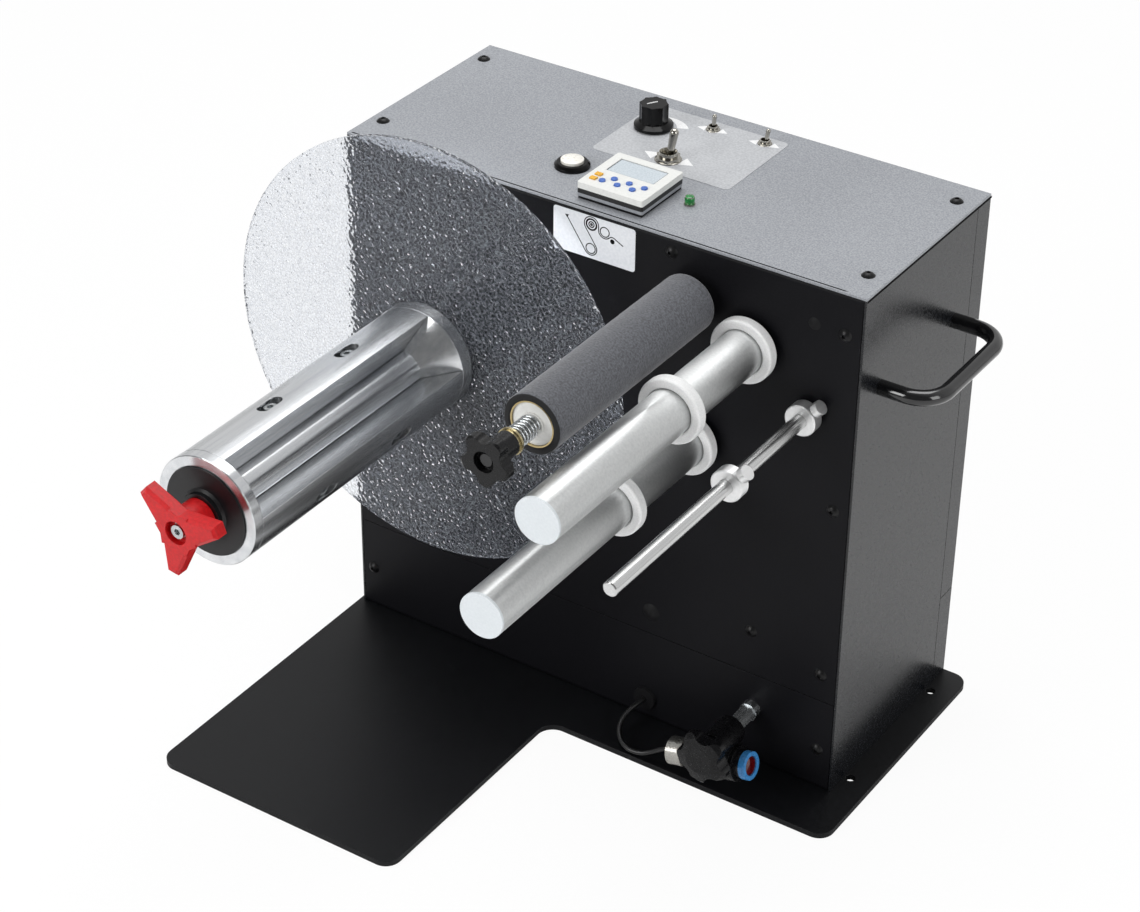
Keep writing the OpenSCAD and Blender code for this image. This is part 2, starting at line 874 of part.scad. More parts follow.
module roller_shafts() {
    color("#b9babd") {
        fixed_shaft(foam_x, foam_z, axle_r, axle_front_y);
        rod(axle_flange_r, foam_x, foam_z, 0, -axle_flange_t);
        rod(spacer_r, foam_x, foam_z, 0, -foam_gap + seat);
        for (place = [[upper_x, upper_z], [lower_x, lower_z]]) {
            fixed_shaft(place[0], place[1], axle_r, guide_front_y + guide_cap_t + guide_spigot / 2);
            rod(spacer_r, place[0], place[1], 0, guide_rear_y + seat);
        }
    }
}

module edge_rod() {
    color("#c4c5c8") {
        fixed_shaft(rod_x, rod_z, rod_r, rod_chamfer - rod_len);
        turned(rod_x, rod_z, rod_chamfer - rod_len)
            polygon([[0, 0], [rod_r, 0], [rod_r - rod_chamfer, rod_chamfer], [0, rod_chamfer]]);
    }
}

// Spindle shaft with the flange that backs the clear disc
module spindle_shaft() {
    color("#a9abb0") {
        rod(shaft_r, 0, spindle_z, shaft_rear_y - seat, -disc_front - shaft_nose);
        rod(output_r, 0, spindle_z, shaft_rear_y + gearbox_mouth - seat, 0);
        rod(sleeve_r, 0, spindle_z, sheet_t + bearing_lip - seat, disc_rear_y + backing_t);
        rod(backing_r, 0, spindle_z, disc_rear_y + backing_t, disc_rear_y);
    }
}

module flange_disc() {
    color([0.85, 0.87, 0.9, 0.4])
        difference() {
            rod(disc_d / 2, 0, spindle_z, disc_rear_y, flange_y);
            rod(shaft_r + fit, 0, spindle_z, disc_rear_y + cut, flange_y - cut);
        }
}

// Chuck hub: rear flange, rear cone, tube and the nose that the front cone slides on
module chuck_hub() {
    cone_end = flange_w + cone_len;
    color("#c9cbce")
        difference() {
            union() {
                turned(0, spindle_z, flange_y)
                    polygon([[0, 0], [chuck_r, 0], [chuck_r, flange_w], [cone_base_r, flange_w],
                             [hub_r, cone_end], [0, cone_end]]);
                rod(hub_r, 0, spindle_z, flange_y, nose_shoulder_y);
                rod(nose_r, 0, spindle_z, flange_y, nose_front_y);
            }
            rod(shaft_r + fit, 0, spindle_z, flange_y + cut, -disc_front - shaft_nose - seat);
            rod(draw_r + fit, 0, spindle_z, nose_front_y + draw_len + cone_travel, nose_front_y - cut);
            for (angle = jaw_angles)
                for (share = jaw_slot_shares)
                    jaw_screw_place(angle, share)
                        translate([jaw_screw_tip_r - seat, 0, 0])
                            rotate([0, 90, 0])
                                cylinder(r = jaw_screw_r + fit, h = hub_r);
        }
}

// Moves to a jaw's screw: +X then points outward through the middle of the jaw
module jaw_screw_place(angle, share) {
    y = rear_cone_y + share * (ring_rear_y - rear_cone_y);
    translate([0, y, spindle_z])
        rotate([0, -angle, 0])
            children();
}

jaw_head_seat_r = jaw_floor_r + jaw_radial + seat;

module jaw_screws() {
    color("#b4b8ba")
        for (angle = jaw_angles)
            for (share = jaw_slot_shares)
                jaw_screw_place(angle, share)
                    rotate([0, 90, 0])
                        difference() {
                            union() {
                                translate([0, 0, jaw_screw_tip_r])
                                    cylinder(r = jaw_screw_r, h = jaw_head_seat_r - jaw_screw_tip_r);
                                translate([0, 0, jaw_head_seat_r])
                                    cylinder(r = jaw_head_r, h = jaw_head_h);
                            }
                            translate([0, 0, jaw_head_seat_r + jaw_head_h - hex_key_depth])
                                cylinder(r = hex_key_r, h = hex_key_depth + cut, $fn = 6);
                        }
}

// A slot with round ends, long along Y, from the radius r outward
module jaw_slot(length, width, r) {
    straight = length - width;
    translate([r, 0, 0])
        rotate([0, 90, 0])
            linear_extrude(chuck_r) {
                square([width, straight], center = true);
                for (y = [-straight / 2, straight / 2])
                    translate([0, y])
                        circle(width / 2);
            }
}

// Jaw: a wedge of the chuck's cylinder, with a seat for a cone at each end and two slots
module jaw(number) {
    wall = 2 * chuck_r;
    wedge = [[jaw_apex, 0],
             [jaw_apex + wall * cos(jaw_wall_angle), wall * sin(jaw_wall_angle)],
             [jaw_apex + wall * cos(jaw_wall_angle), -wall * sin(jaw_wall_angle)]];
    rear = rear_cone_y - cone_play;
    front = ring_rear_y + cone_play;
    cone_r = hub_r + cone_slope * (cone_len + 2 * cone_shift);
    color("#cfd1d4")
        translate([0, 0, spindle_z])
            rotate([0, -jaw_angles[number], 0])
                difference() {
                    translate([0, rear, 0])
                        rotate([90, 0, 0])
                            linear_extrude(rear - front)
                                intersection() {
                                    difference() {
                                        circle(chuck_r);
                                        circle(hub_r + cone_play);
                                    }
                                    polygon(wedge);
                                }
                    translate([0, rear_cone_y + cone_shift, 0])
                        rotate([90, 0, 0])
                            cylinder(r1 = cone_r, r2 = hub_r, h = cone_len + 2 * cone_shift);
                    translate([0, ring_rear_y - cone_shift, 0])
                        rotate([-90, 0, 0])
                            cylinder(r1 = cone_r, r2 = hub_r, h = cone_len + 2 * cone_shift);
                    for (share = jaw_slot_shares)
                        translate([0, rear_cone_y + share * (ring_rear_y - rear_cone_y), 0]) {
                            jaw_slot(jaw_slot_len, jaw_slot_w, jaw_floor_r);
                            jaw_slot(jaw_slot_len / 2, 2 * (jaw_screw_r + seat), 0);
                        }
                }
}

// Front ring with the cone that spreads the jaws
module front_cone() {
    ring_chamfer = cone_lip;
    plate_seat = cone_len + ring_w + end_stand - end_disc_t;
    color("#c9cbce")
        turned(0, spindle_z, front_cone_y)
            polygon([[nose_r + fit, 0], [hub_r, 0], [cone_base_r, cone_len], [chuck_r, cone_len],
                     [chuck_r, cone_len + ring_w - ring_chamfer],
                     [chuck_r - ring_chamfer, cone_len + ring_w],
                     [end_disc_r + seat, cone_len + ring_w],
                     [end_disc_r + seat, plate_seat],
                     [nose_r + fit, plate_seat]]);
}

// Black end plate with its boss
module end_plate() {
    boss_fillet = boss_h / 3;
    boss_top_r = boss_r - boss_fillet;
    color("#141416")
        turned(0, spindle_z, end_rear_y)
            polygon([[draw_hole_r, 0], [end_disc_r, 0], [end_disc_r, end_disc_t], [boss_r, end_disc_t],
                     [boss_top_r, end_disc_t + boss_fillet], [boss_top_r, end_disc_t + boss_h],
                     [draw_hole_r, end_disc_t + boss_h]]);
}

// Red wing knob: a hub with three wings that narrow and are bevelled on their front edges
module wing_outline() {
    polygon([[0, -wing_root_w / 2], [wing_r, -wing_tip_w / 2], [wing_r, wing_tip_w / 2], [0, wing_root_w / 2]]);
}

// One bevel along a wing's edge, on the face at zero
module wing_edge_cut(side) {
    lean = atan((wing_root_w - wing_tip_w) / (2 * wing_r));
    translate([wing_r, side * wing_tip_w / 2, 0])
        rotate([45, 0, -side * lean])
            cube([2 * wing_bevel_share * wing_r, wing_bevel * sqrt(2), wing_bevel * sqrt(2)], center = true);
}

module wing_tip_cut() {
    translate([wing_r, 0, 0])
        rotate([0, 45, 0])
            cube([wing_bevel * sqrt(2), wing_r, wing_bevel * sqrt(2)], center = true);
}

// The bevels of one wing, which run out before they reach its neighbours
module wing_cuts() {
    wing_tip_cut();
    for (side = [-1, 1])
        wing_edge_cut(side);
}

module wing_knob() {
    front = wing_hub_len + wing_t;
    color("#c8141c")
        translate([0, wing_rear_y, spindle_z])
            rotate([90, 0, 0])
                difference() {
                    union() {
                        cylinder(r = wing_hub_r, h = wing_hub_len + wing_t / 2);
                        translate([0, 0, wing_hub_len])
                            linear_extrude(wing_t)
                                for (angle = wing_angles)
                                    rotate(angle)
                                        wing_outline();
                    }
                    for (angle = wing_angles)
                        translate([0, 0, front])
                            rotate([0, 0, angle])
                                wing_cuts();
                    translate([0, 0, front - wing_recess_depth])
                        cylinder(r = wing_recess_r, h = wing_recess_depth + cut);
                    translate([0, 0, -cut])
                        cylinder(r = draw_r + fit, h = front);
                }
}

// Draw screw: from the knob's recess through the end plate into the hub
module draw_screw() {
    head_rear = wing_front_y + wing_recess_depth;
    color("#c0c2c4") {
        difference() {
            rod(draw_head_r, 0, spindle_z, head_rear, head_rear - draw_head_h);
            hex_rod(hex_key_r, 0, spindle_z, head_rear - draw_head_h + hex_key_depth, head_rear - draw_head_h - cut);
        }
        rod(draw_r, 0, spindle_z, nose_front_y + draw_len, head_rear);
    }
}

// Foam sleeve on the brass tube
module foam_sleeve() {
    color("#4a4b4e")
        difference() {
            rod(foam_r, foam_x, foam_z, -foam_gap, foam_front_y);
            rod(core_r + fit, foam_x, foam_z, cut - foam_gap, foam_front_y - cut);
        }
}

// Roller core: the brass tube and the white plugs that run on the shaft
module roller_plug(rear_y, front_y, boss_rear_y, boss_front_y) {
    difference() {
        union() {
            rod(core_r - core_wall - fit, foam_x, foam_z, rear_y, front_y);
            rod(roller_boss_r, foam_x, foam_z, boss_rear_y, boss_front_y);
        }
        rod(axle_r + fit, foam_x, foam_z, boss_rear_y + cut, boss_front_y - cut);
    }
}

module roller_core() {
    rear = -foam_gap;
    color("#b79a5a") {
        difference() {
            rod(core_r, foam_x, foam_z, rear, foam_front_y);
            rod(core_r - core_wall, foam_x, foam_z, rear + cut, foam_front_y - cut);
        }
        roller_plug(rear, rear - plug_len, rear, rear - plug_len);
        roller_plug(foam_front_y + plug_inset + plug_len, foam_front_y + plug_inset,
                    foam_front_y + plug_inset + plug_len, core_front_y);
    }
}

// Tension spring: one unbroken helix of round wire on the roller's shaft
spring_sides = 6;
spring_rings_per_coil = 8;
spring_rings = spring_coils * spring_rings_per_coil;
spring_start_y = spring_rear_y - spring_wire_r;
spring_end_y = spring_front_y + spring_wire_r;
spring_pitch = (spring_start_y - spring_end_y) / spring_coils;
spring_rise = spring_pitch / 360;

function coil_radial(turn) = [cos(turn), 0, sin(turn)];
function coil_centre(turn) = spring_r * coil_radial(turn) + [0, -spring_rise * turn, 0];
function coil_side(turn) =
    let (along = [-spring_r * sin(turn), -spring_rise * 180 / PI, spring_r * cos(turn)])
    cross(along / norm(along), coil_radial(turn));
function coil_ring(turn) = [
    for (side = [0 : spring_sides - 1])
        let (angle = 360 * side / spring_sides)
        coil_centre(turn) + spring_wire_r * (cos(angle) * coil_radial(turn) + sin(angle) * coil_side(turn))
];

// Faces of a tube of rings, as triangles, with a fan on each end
function tube_faces(rings, sides) = concat(
    [for (r = [0 : rings - 2]) for (s = [0 : sides - 1])
        [r * sides + s, (r + 1) * sides + s, r * sides + (s + 1) % sides]],
    [for (r = [0 : rings - 2]) for (s = [0 : sides - 1])
        [(r + 1) * sides + s, (r + 1) * sides + (s + 1) % sides, r * sides + (s + 1) % sides]],
    [for (s = [1 : sides - 2]) [0, s, s + 1]],
    [for (s = [1 : sides - 2]) let (last = (rings - 1) * sides) [last, last + s + 1, last + s]]
);

// Least gap between neighbouring coils, measured on the points of the wire's centre line
function coil_gap() = min([
    for (a = [0 : spring_rings - 1])
        for (b = [a + spring_rings_per_coil / 2 : spring_rings])
            if (b <= spring_rings && b > a + spring_rings_per_coil / 2)
                norm(coil_centre(a * 360 / spring_rings_per_coil) - coil_centre(b * 360 / spring_rings_per_coil))
]) - 2 * spring_wire_r;
echo(least_gap_between_coils_mm = coil_gap());

module tension_spring() {
    points = [for (ring = [0 : spring_rings]) each coil_ring(ring * 360 / spring_rings_per_coil)];
    color("#8f8a80")
        translate([foam_x, spring_start_y, foam_z])
            polyhedron(points, tube_faces(spring_rings + 1, spring_sides));
}

module tension_washers() {
    color("#c9a24a")
        for (count = [0, 1])
            difference() {
                rod(washer_r - count * core_wall, foam_x, foam_z, washer_rear_y - count * washer_t,
                    washer_rear_y - (count + 1) * washer_t);
                rod(axle_r + fit, foam_x, foam_z, washer_rear_y + cut, washer_rear_y - 2 * washer_t - cut);
            }
}

// Outline of a five-lobe star: round lobes that run smoothly into round scallops
module star_outline(tip_r) {
    lobe_r = star_lobe_share * tip_r;
    lobe_at = tip_r - lobe_r;
    scallop_at = star_scallop_share * tip_r;
    reach = [scallop_at * cos(36) - lobe_at, scallop_at * sin(36)];
    scallop_r = norm(reach) - lobe_r + star_merge_share * tip_r;
    touch = [lobe_at, 0] + lobe_r * reach / norm(reach);
    difference() {
        circle(norm(touch));
        for (k = [0 : 4])
            rotate(36 + 72 * k)
                translate([scallop_at, 0])
                    circle(scallop_r);
    }
    for (k = [0 : 4])
        rotate(72 * k)
            translate([lobe_at, 0])
                circle(lobe_r);
}

// Star knob along +Z, from its neck at zero to its star, with a recess in its front
module star_knob(tip_r, neck_len, star_h, turn) {
    difference() {
        union() {
            cylinder(r = star_neck_r, h = neck_len);
            translate([0, 0, neck_len])
                intersection() {
                    rotate(turn)
                        linear_extrude(star_h)
                            star_outline(tip_r);
                    rotate_extrude()
                        polygon([[0, 0], [tip_r - star_dome, 0], [tip_r + cut, star_dome],
                                 [tip_r + cut, star_h - star_dome / 2], [tip_r - star_dome / 2, star_h], [0, star_h]]);
                }
        }
        translate([0, 0, neck_len + star_h - star_recess_depth])
            cylinder(r = star_recess_r, h = star_recess_depth + cut);
        children();
    }
}

module tension_knob() {
    color("#111113")
        translate([foam_x, knob_rear_y, foam_z])
            rotate([90, 0, 0])
                star_knob(star_r, star_neck_len, star_t, star_turn)
                    translate([0, 0, -cut])
                        cylinder(r = axle_r + fit, h = star_neck_len + star_t);
}

// Guide rollers: an aluminium tube with a pale cap in each end
module guide_roller(x, z) {
    bore = guide_r - guide_wall;
    tube_rear = guide_rear_y - guide_cap_t;
    tube_front = guide_front_y + guide_cap_t;
    color("#c3c6c8") {
        difference() {
            rod(guide_r, x, z, tube_rear, tube_front);
            rod(bore, x, z, tube_rear + cut, tube_front - cut);
        }
        difference() {
            union() {
                rod(guide_r, x, z, guide_rear_y, tube_rear);
                rod(bore - fit, x, z, guide_rear_y, tube_rear - guide_spigot);
            }
            rod(axle_r + fit, x, z, guide_rear_y + cut, tube_rear - guide_spigot - cut);
        }
        difference() {
            union() {
                rod(guide_r, x, z, tube_front, guide_front_y);
                rod(bore - fit, x, z, tube_front + guide_spigot, guide_front_y);
            }
            rod(axle_r + fit, x, z, tube_front + guide_spigot + cut, tube_front + guide_spigot / 2 - guide_end_gap);
        }
    }
}

// A nylon guide collar, with round edges, whose rear face lies at rear_y
module guide_collar(x, z, rear_y) {
    inner = guide_r + fit;
    color("#e9eaea")
        turned(x, z, rear_y)
            difference() {
                round_box([inner, 0], [collar_r, collar_w], collar_round);
                square([inner, collar_w]);
            }
}

// A stop collar with a hole for its thumb screw
module stop_collar(rear_y) {
    middle = rear_y - stop_w / 2;
    color("#dcdddd")
        difference() {
            turned(rod_x, rod_z, rear_y)
                polygon([[rod_r + fit, 0], [stop_r - stop_chamfer, 0], [stop_r, stop_chamfer],
                         [stop_r, stop_w - stop_chamfer], [stop_r - stop_chamfer, stop_w], [rod_r + fit, stop_w]]);
            translate([rod_x, middle, rod_z])
                rotate([0, 90 - thumb_angle, 0])
                    cylinder(r = thumb_shank_r + fit, h = stop_r + cut);
        }
}

module thumb_screw(rear_y) {
    head_at = stop_r + thumb_stand;
    color("#e6e7e7")
        translate([rod_x, rear_y - stop_w / 2, rod_z])
            rotate([0, 90 - thumb_angle, 0]) {
                translate([0, 0, rod_r + seat])
                    cylinder(r = thumb_shank_r, h = head_at - rod_r - seat);
                translate([0, 0, head_at])
                    cylinder(r = thumb_head_r, h = thumb_head_h);
            }
}

// Sensor stud: a threaded rod with a hexagon spacer, a washer at the panel and a nut behind it
module sensor_stud() {
    color("#9b9ea3") {
        rod(stud_rod_r, sensor_x, sensor_z, stud_len, stud_front_y);
        rod(stud_collar_r, sensor_x, sensor_z, 0, -stud_hex_rear);
        hex_rod(stud_hex_r, sensor_x, sensor_z, -stud_hex_rear, -stud_hex_rear - stud_hex_len);
        hex_rod(nut_r, sensor_x, sensor_z, sheet_t + nut_t, sheet_t);
    }
}

// Moves to the middle of the clamp on the barrel: +X then runs along the barrel to its lens
module barrel_place() {
    translate([sensor_x, -sensor_y, sensor_z])
        rotate([0, -sensor_tilt, 0])
            translate([0, 0, -sensor_drop])
                children();
}

module along_barrel(r, from, to) {
    translate([from, 0, 0])
        rotate([0, 90, 0])
            cylinder(r = r, h = to - from);
}

// Clamp: round over the stud and round over the barrel, in one moulding
module sensor_clamp() {
    clamp_r = barrel_r + clamp_wall;
    depth = clamp_rear_y - clamp_front_y - 2 * clamp_web_inset;
    color("#121214")
        difference() {
            union() {
                rod(clamp_stud_r, sensor_x, sensor_z, clamp_rear_y, clamp_front_y);
                barrel_place() {
                    along_barrel(clamp_r, -clamp_w / 2, clamp_w / 2);
                    translate([-clamp_web_w / 2, -depth / 2, 0])
                        cube([clamp_web_w, depth, sensor_drop]);
                }
            }
            barrel_place()
                along_barrel(barrel_r + fit, -clamp_w / 2 - cut, clamp_w / 2 + cut);
            rod(stud_rod_r + fit, sensor_x, sensor_z, clamp_rear_y + cut, clamp_front_y - cut);
        }
}

// Sensor barrel: gland at the cable end, two nuts, and the ring with the lens
module sensor_barrel() {
    gland = -sensor_reach;
    lens = sensor_len - sensor_reach;
    color("#2a2b30")
        barrel_place()
            difference() {
                union() {
                    along_barrel(gland_r, gland, gland + gland_len);
                    along_barrel(barrel_r, gland + gland_len, lens - ring_len);
                    along_barrel(ring_r, lens - ring_len, lens);
                }
                along_barrel(lens_r, lens - lens_depth, lens + cut);
            }
}

module sensor_knob() {
    bore = sensor_neck_len + sensor_knob_t / 2 + seat;
    color("#151517")
        translate([sensor_x, clamp_front_y - sensor_knob_gap, sensor_z])
            rotate([90, 0, 0])
                star_knob_blind(bore);
}

module star_knob_blind(bore) {
    difference() {
        union() {
            cylinder(r = star_neck_r, h = sensor_neck_len);
            translate([0, 0, sensor_neck_len])
                intersection() {
                    rotate(sensor_star_turn)
                        linear_extrude(sensor_knob_t)
                            star_outline(sensor_knob_r);
                    rotate_extrude()
                        polygon([[0, 0], [sensor_knob_r - star_dome, 0], [sensor_knob_r + cut, star_dome],
                                 [sensor_knob_r + cut, sensor_knob_t / 2],
                                 [sensor_knob_r - star_dome, sensor_knob_t - star_dome / 2],
                                 [sensor_knob_r / 2, sensor_knob_t], [0, sensor_knob_t]]);
                }
        }
        translate([0, 0, -cut])
            cylinder(r = stud_rod_r + fit, h = bore + cut);
    }
}

// Sensor cable: a round tube swept along its route, square to what it meets at both ends
cable_last = len(cable_route) - 1;
function cable_along(k) =
    k == 0 ? [0, -1, 0] :
    k == cable_last ? [cos(sensor_tilt), 0, sin(sensor_tilt)] :
    let (step = cable_route[k + 1] - cable_route[k - 1]) step / norm(step);
function cable_side(k) =
    let (side = cross(cable_along(k), [0, 0, 1])) side / norm(side);
function cable_ring(k) = [
    for (s = [0 : cable_sides - 1])
        let (angle = 360 * s / cable_sides)
        cable_route[k] + cable_r * (cos(angle) * cable_side(k) + sin(angle) * cross(cable_side(k), cable_along(k)))
];

module sensor_cable() {
    color("#0a0a0b")
        polyhedron([for (k = [0 : cable_last]) each cable_ring(k)], tube_faces(cable_last + 1, cable_sides));
}

// Speed knob: a skirt and a fluted body
speed_bush_r = 4.6;
speed_bush_h = 3;
speed_spindle_h = 14;

module speed_outline() {
    difference() {
        circle(speed_body_r);
        for (k = [0 : speed_flutes - 1])
            rotate(360 * k / speed_flutes)
                translate([speed_flute_r + speed_body_r - speed_flute_depth, 0])
                    circle(speed_flute_r);
    }
}

module speed_knob() {
    color("#0f0f10")
        translate([speed_place_x, speed_place_y, top_z + speed_gap])
            difference() {
                union() {
                    cylinder(r = speed_skirt_r, h = speed_skirt_h / 2);
                    translate([0, 0, speed_skirt_h / 2])
                        cylinder(r1 = speed_skirt_r, r2 = speed_body_r, h = speed_skirt_h / 2);
                    linear_extrude(speed_h - speed_gap)
                        speed_outline();
                }
                translate([0, 0, -cut])
                    cylinder(r = speed_bush_r + seat, h = speed_bush_h + cut);
                translate([0, 0, -cut])
                    cylinder(r = speed_bore_r + fit, h = speed_spindle_h + cut);
            }
}

// Bushes and nuts of the toggles, bush and spindle of the speed control, and the lamp
module toggle_bush(toggle) {
    r = toggle[2];
    translate([toggle[0], toggle[1], top_z])
        difference() {
            union() {
                cylinder(r = toggle[3], h = r / 2, $fn = 6);
                translate([0, 0, -toggle_depth])
                    cylinder(r = r, h = toggle_depth + r);
            }
            translate([0, 0, -toggle_pivot])
                cylinder(r1 = toggle[8] + fit, r2 = r - bush_wall, h = r + toggle_pivot);
            translate([0, 0, -toggle_pivot - toggle[8] - seat])
                cylinder(r = toggle[8] + fit, h = toggle[8] + seat);
        }
}

module top_bushes() {
    color("#a8a49a") {
        for (toggle = [big_toggle, left_toggle, right_toggle])
            toggle_bush(toggle);
        translate([speed_place_x, speed_place_y, top_z - toggle_depth]) {
            cylinder(r = speed_bush_r, h = toggle_depth + speed_bush_h);
            cylinder(r = speed_bore_r, h = toggle_depth + speed_spindle_h);
        }
        translate([lamp_x, lamp_y, top_z]) {
            cylinder(r = lamp_rim_r, h = lamp_rim_h);
            translate([0, 0, -toggle_depth])
                cylinder(r = lamp_r, h = toggle_depth + lamp_h);
        }
    }
}

// A toggle lever: from the ball in its bush it widens to a round tip, and leans about the ball
module toggle_lever(toggle) {
    length = toggle[4];
    tip = toggle[6];
    color("#b7b3a8")
        translate([toggle[0], toggle[1], top_z - toggle_pivot])
            rotate([0, toggle[7], 0]) {
                sphere(toggle[8]);
                cylinder(r1 = toggle[5], r2 = tip, h = length - tip);
                translate([0, 0, length - tip])
                    sphere(tip);
            }
}

// Push button: the bezel with its neck through the cover, and the white cap
module button_bezel() {
    color("#101011")
        translate([button_x, button_y, top_z])
            difference() {
                union() {
                    cylinder(r = bezel_r, h = bezel_h / 2);
                    translate([0, 0, bezel_h / 2])
                        cylinder(r1 = bezel_r, r2 = bezel_r - bezel_h / 2, h = bezel_h / 2);
                    translate([0, 0, -bezel_neck_len])
                        cylinder(r = bezel_neck_r, h = bezel_neck_len);
                }
                translate([0, 0, button_floor - bezel_neck_len])
                    cylinder(r = bezel_bore_r, h = bezel_neck_len + bezel_h);
            }
}

module push_button() {
    ball = (button_r * button_r + button_dome * button_dome) / (2 * button_dome);
    cap_h = bezel_h + button_stand;
    color("#f1efe6")
        translate([button_x, button_y, top_z])
            rotate_extrude() {
                translate([0, cap_h - button_len])
                    square([button_r, button_len - button_dome]);
                translate([0, cap_h - button_dome])
                    intersection() {
                        square([button_r, button_dome]);
                        translate([0, button_dome - ball])
                            circle(ball);
                    }
            }
}

// Counter: its face on the gasket, its body through the cover, a window and pockets for the keys
module key_outline(number, play) {
    if (number < 2)
        square([yellow_key_w + 2 * play, yellow_key_d + 2 * play], center = true);
    else
        circle(key_r + play);
}

module key_place(number) {
    share = key_shares[number];
    translate([counter_x + share[0] * counter_w, counter_y + share[1] * counter_w, counter_top_z])
        children();
}

module counter_case() {
    window_low = counter_w * window_shares[0];
    window_size = counter_w * (window_shares[1] - window_shares[0]);
    body = counter_w - 2 * counter_hole_in;
    pocket = key_h - key_stand + key_travel + key_play;
    color("#dadbd6")
        difference() {
            union() {
                translate([0, 0, counter_base_z])
                    linear_extrude(counter_h)
                        round_box([counter_x, counter_y], [counter_x + counter_w, counter_y + counter_w], counter_round);
                translate([counter_x + counter_hole_in, counter_y + counter_hole_in, under_cover_z - counter_body_h])
                    cube([body, body, counter_body_h + sheet_t + gasket_t]);
            }
            translate([counter_x + window_low[0], counter_y + window_low[1], counter_top_z - window_depth])
                cube([window_size[0], window_size[1], window_depth + cut]);
            for (number = [0 : 7])
                key_place(number)
                    translate([0, 0, -pocket])
                        linear_extrude(pocket + cut)
                            key_outline(number, key_play);
        }
}

module counter_key(number) {
    color(number < 2 ? "#e0b63c" : "#3f63ad")
        key_place(number)
            translate([0, 0, key_stand - key_h])
                linear_extrude(key_h)
                    key_outline(number, 0);
}

base_plate();
side_panels();
front_panel_upper();
front_panel_lower();
rear_panels();
top_cover();
panel_screws();
rubber_seals();
carry_handle();
spindle_drive();
power_unit();
roller_shafts();
edge_rod();
sensor_stud();
sensor_cable();
top_bushes();
button_bezel();
counter_case();
spindle_shaft();
chuck_hub();
flange_disc();
jaw_screws();
jaw(0);  // jaw_1
jaw(1);  // jaw_2
jaw(2);  // jaw_3
front_cone();
end_plate();
wing_knob();
draw_screw();
foam_sleeve();
roller_core();
tension_spring();
tension_washers();
tension_knob();
guide_roller(upper_x, upper_z);  // guide_roller_upper
guide_roller(lower_x, lower_z);  // guide_roller_lower
guide_collar(upper_x, upper_z, rear_collar_y);  // upper_collar_rear
guide_collar(upper_x, upper_z, collar_w - collar_front);  // upper_collar_front
guide_collar(lower_x, lower_z, rear_collar_y);  // lower_collar_rear
guide_collar(lower_x, lower_z, collar_w - collar_front);  // lower_collar_front
stop_collar(rear_stop_y);  // stop_collar_rear
stop_collar(stop_w - stop_front);  // stop_collar_front
thumb_screw(rear_stop_y);  // thumb_screw_rear
thumb_screw(stop_w - stop_front);  // thumb_screw_front
sensor_clamp();
sensor_barrel();
sensor_knob();
speed_knob();
toggle_lever(big_toggle);  // direction_toggle_lever
toggle_lever(left_toggle);  // left_toggle_lever
toggle_lever(right_toggle);  // right_toggle_lever
push_button();
for (number = [0 : 7])
    counter_key(number);
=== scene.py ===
import math

import bmesh
import bpy
from mathutils import Matrix, Vector


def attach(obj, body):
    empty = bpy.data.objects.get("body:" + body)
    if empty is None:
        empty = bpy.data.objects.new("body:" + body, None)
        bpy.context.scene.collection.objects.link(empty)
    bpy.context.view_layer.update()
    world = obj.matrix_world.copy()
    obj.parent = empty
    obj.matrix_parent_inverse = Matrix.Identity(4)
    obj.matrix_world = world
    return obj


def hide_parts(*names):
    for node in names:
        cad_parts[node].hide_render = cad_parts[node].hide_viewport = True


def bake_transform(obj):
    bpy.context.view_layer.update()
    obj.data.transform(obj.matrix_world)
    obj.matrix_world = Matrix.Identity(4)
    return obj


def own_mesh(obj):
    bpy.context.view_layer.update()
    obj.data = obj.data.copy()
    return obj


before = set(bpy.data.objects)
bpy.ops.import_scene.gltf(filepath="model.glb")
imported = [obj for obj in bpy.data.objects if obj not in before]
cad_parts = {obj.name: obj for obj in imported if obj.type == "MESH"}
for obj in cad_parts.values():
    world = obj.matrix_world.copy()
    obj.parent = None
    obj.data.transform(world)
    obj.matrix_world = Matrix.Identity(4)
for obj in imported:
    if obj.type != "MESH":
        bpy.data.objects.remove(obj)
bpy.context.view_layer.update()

# Cabinet: folded sheet-steel panels, powder coated and baked. The powder flows into a fine
# orange peel, which breaks reflections up, and every fold and cut edge is slightly rounded.

# In millimetres: the width of the peel's waves, and one radius for folds, about 2 in such sheet,
# and coated cut edges, about 0.3
PEEL = 1.5
BEND = 0.7


def linear(code):
    """An sRGB hex colour as linear light."""
    parts = [int(code[k:k + 2], 16) / 255 for k in (1, 3, 5)]
    return (*[p / 12.92 if p <= 0.04045 else ((p + 0.055) / 1.055) ** 2.4 for p in parts], 1)


def per(size):
    """The texture scale that gives features of this size in millimetres."""
    return 1000 / size


def add(tree, kind, links={}, **settings):
    """Adds one node with its settings; each entry of links is a value or a socket."""
    node = tree.nodes.new("ShaderNode" + kind)
    for name, value in settings.items():
        setattr(node, name, value)
    for name, value in links.items():
        if isinstance(value, bpy.types.NodeSocket):
            tree.links.new(value, node.inputs[name])
        else:
            node.inputs[name].default_value = value
    return node


def finish_of(name, **look):
    """A new material: its node tree, its shader and each point's place in metres."""
    material = bpy.data.materials.new(name)
    material.use_nodes = True
    tree = material.node_tree
    tree.nodes.clear()
    shader = add(tree, "BsdfPrincipled", {k.replace("_", " "): v for k, v in look.items()})
    add(tree, "OutputMaterial", {"Surface": shader.outputs[0]})
    return material, tree, shader, add(tree, "TexCoord").outputs["Object"]


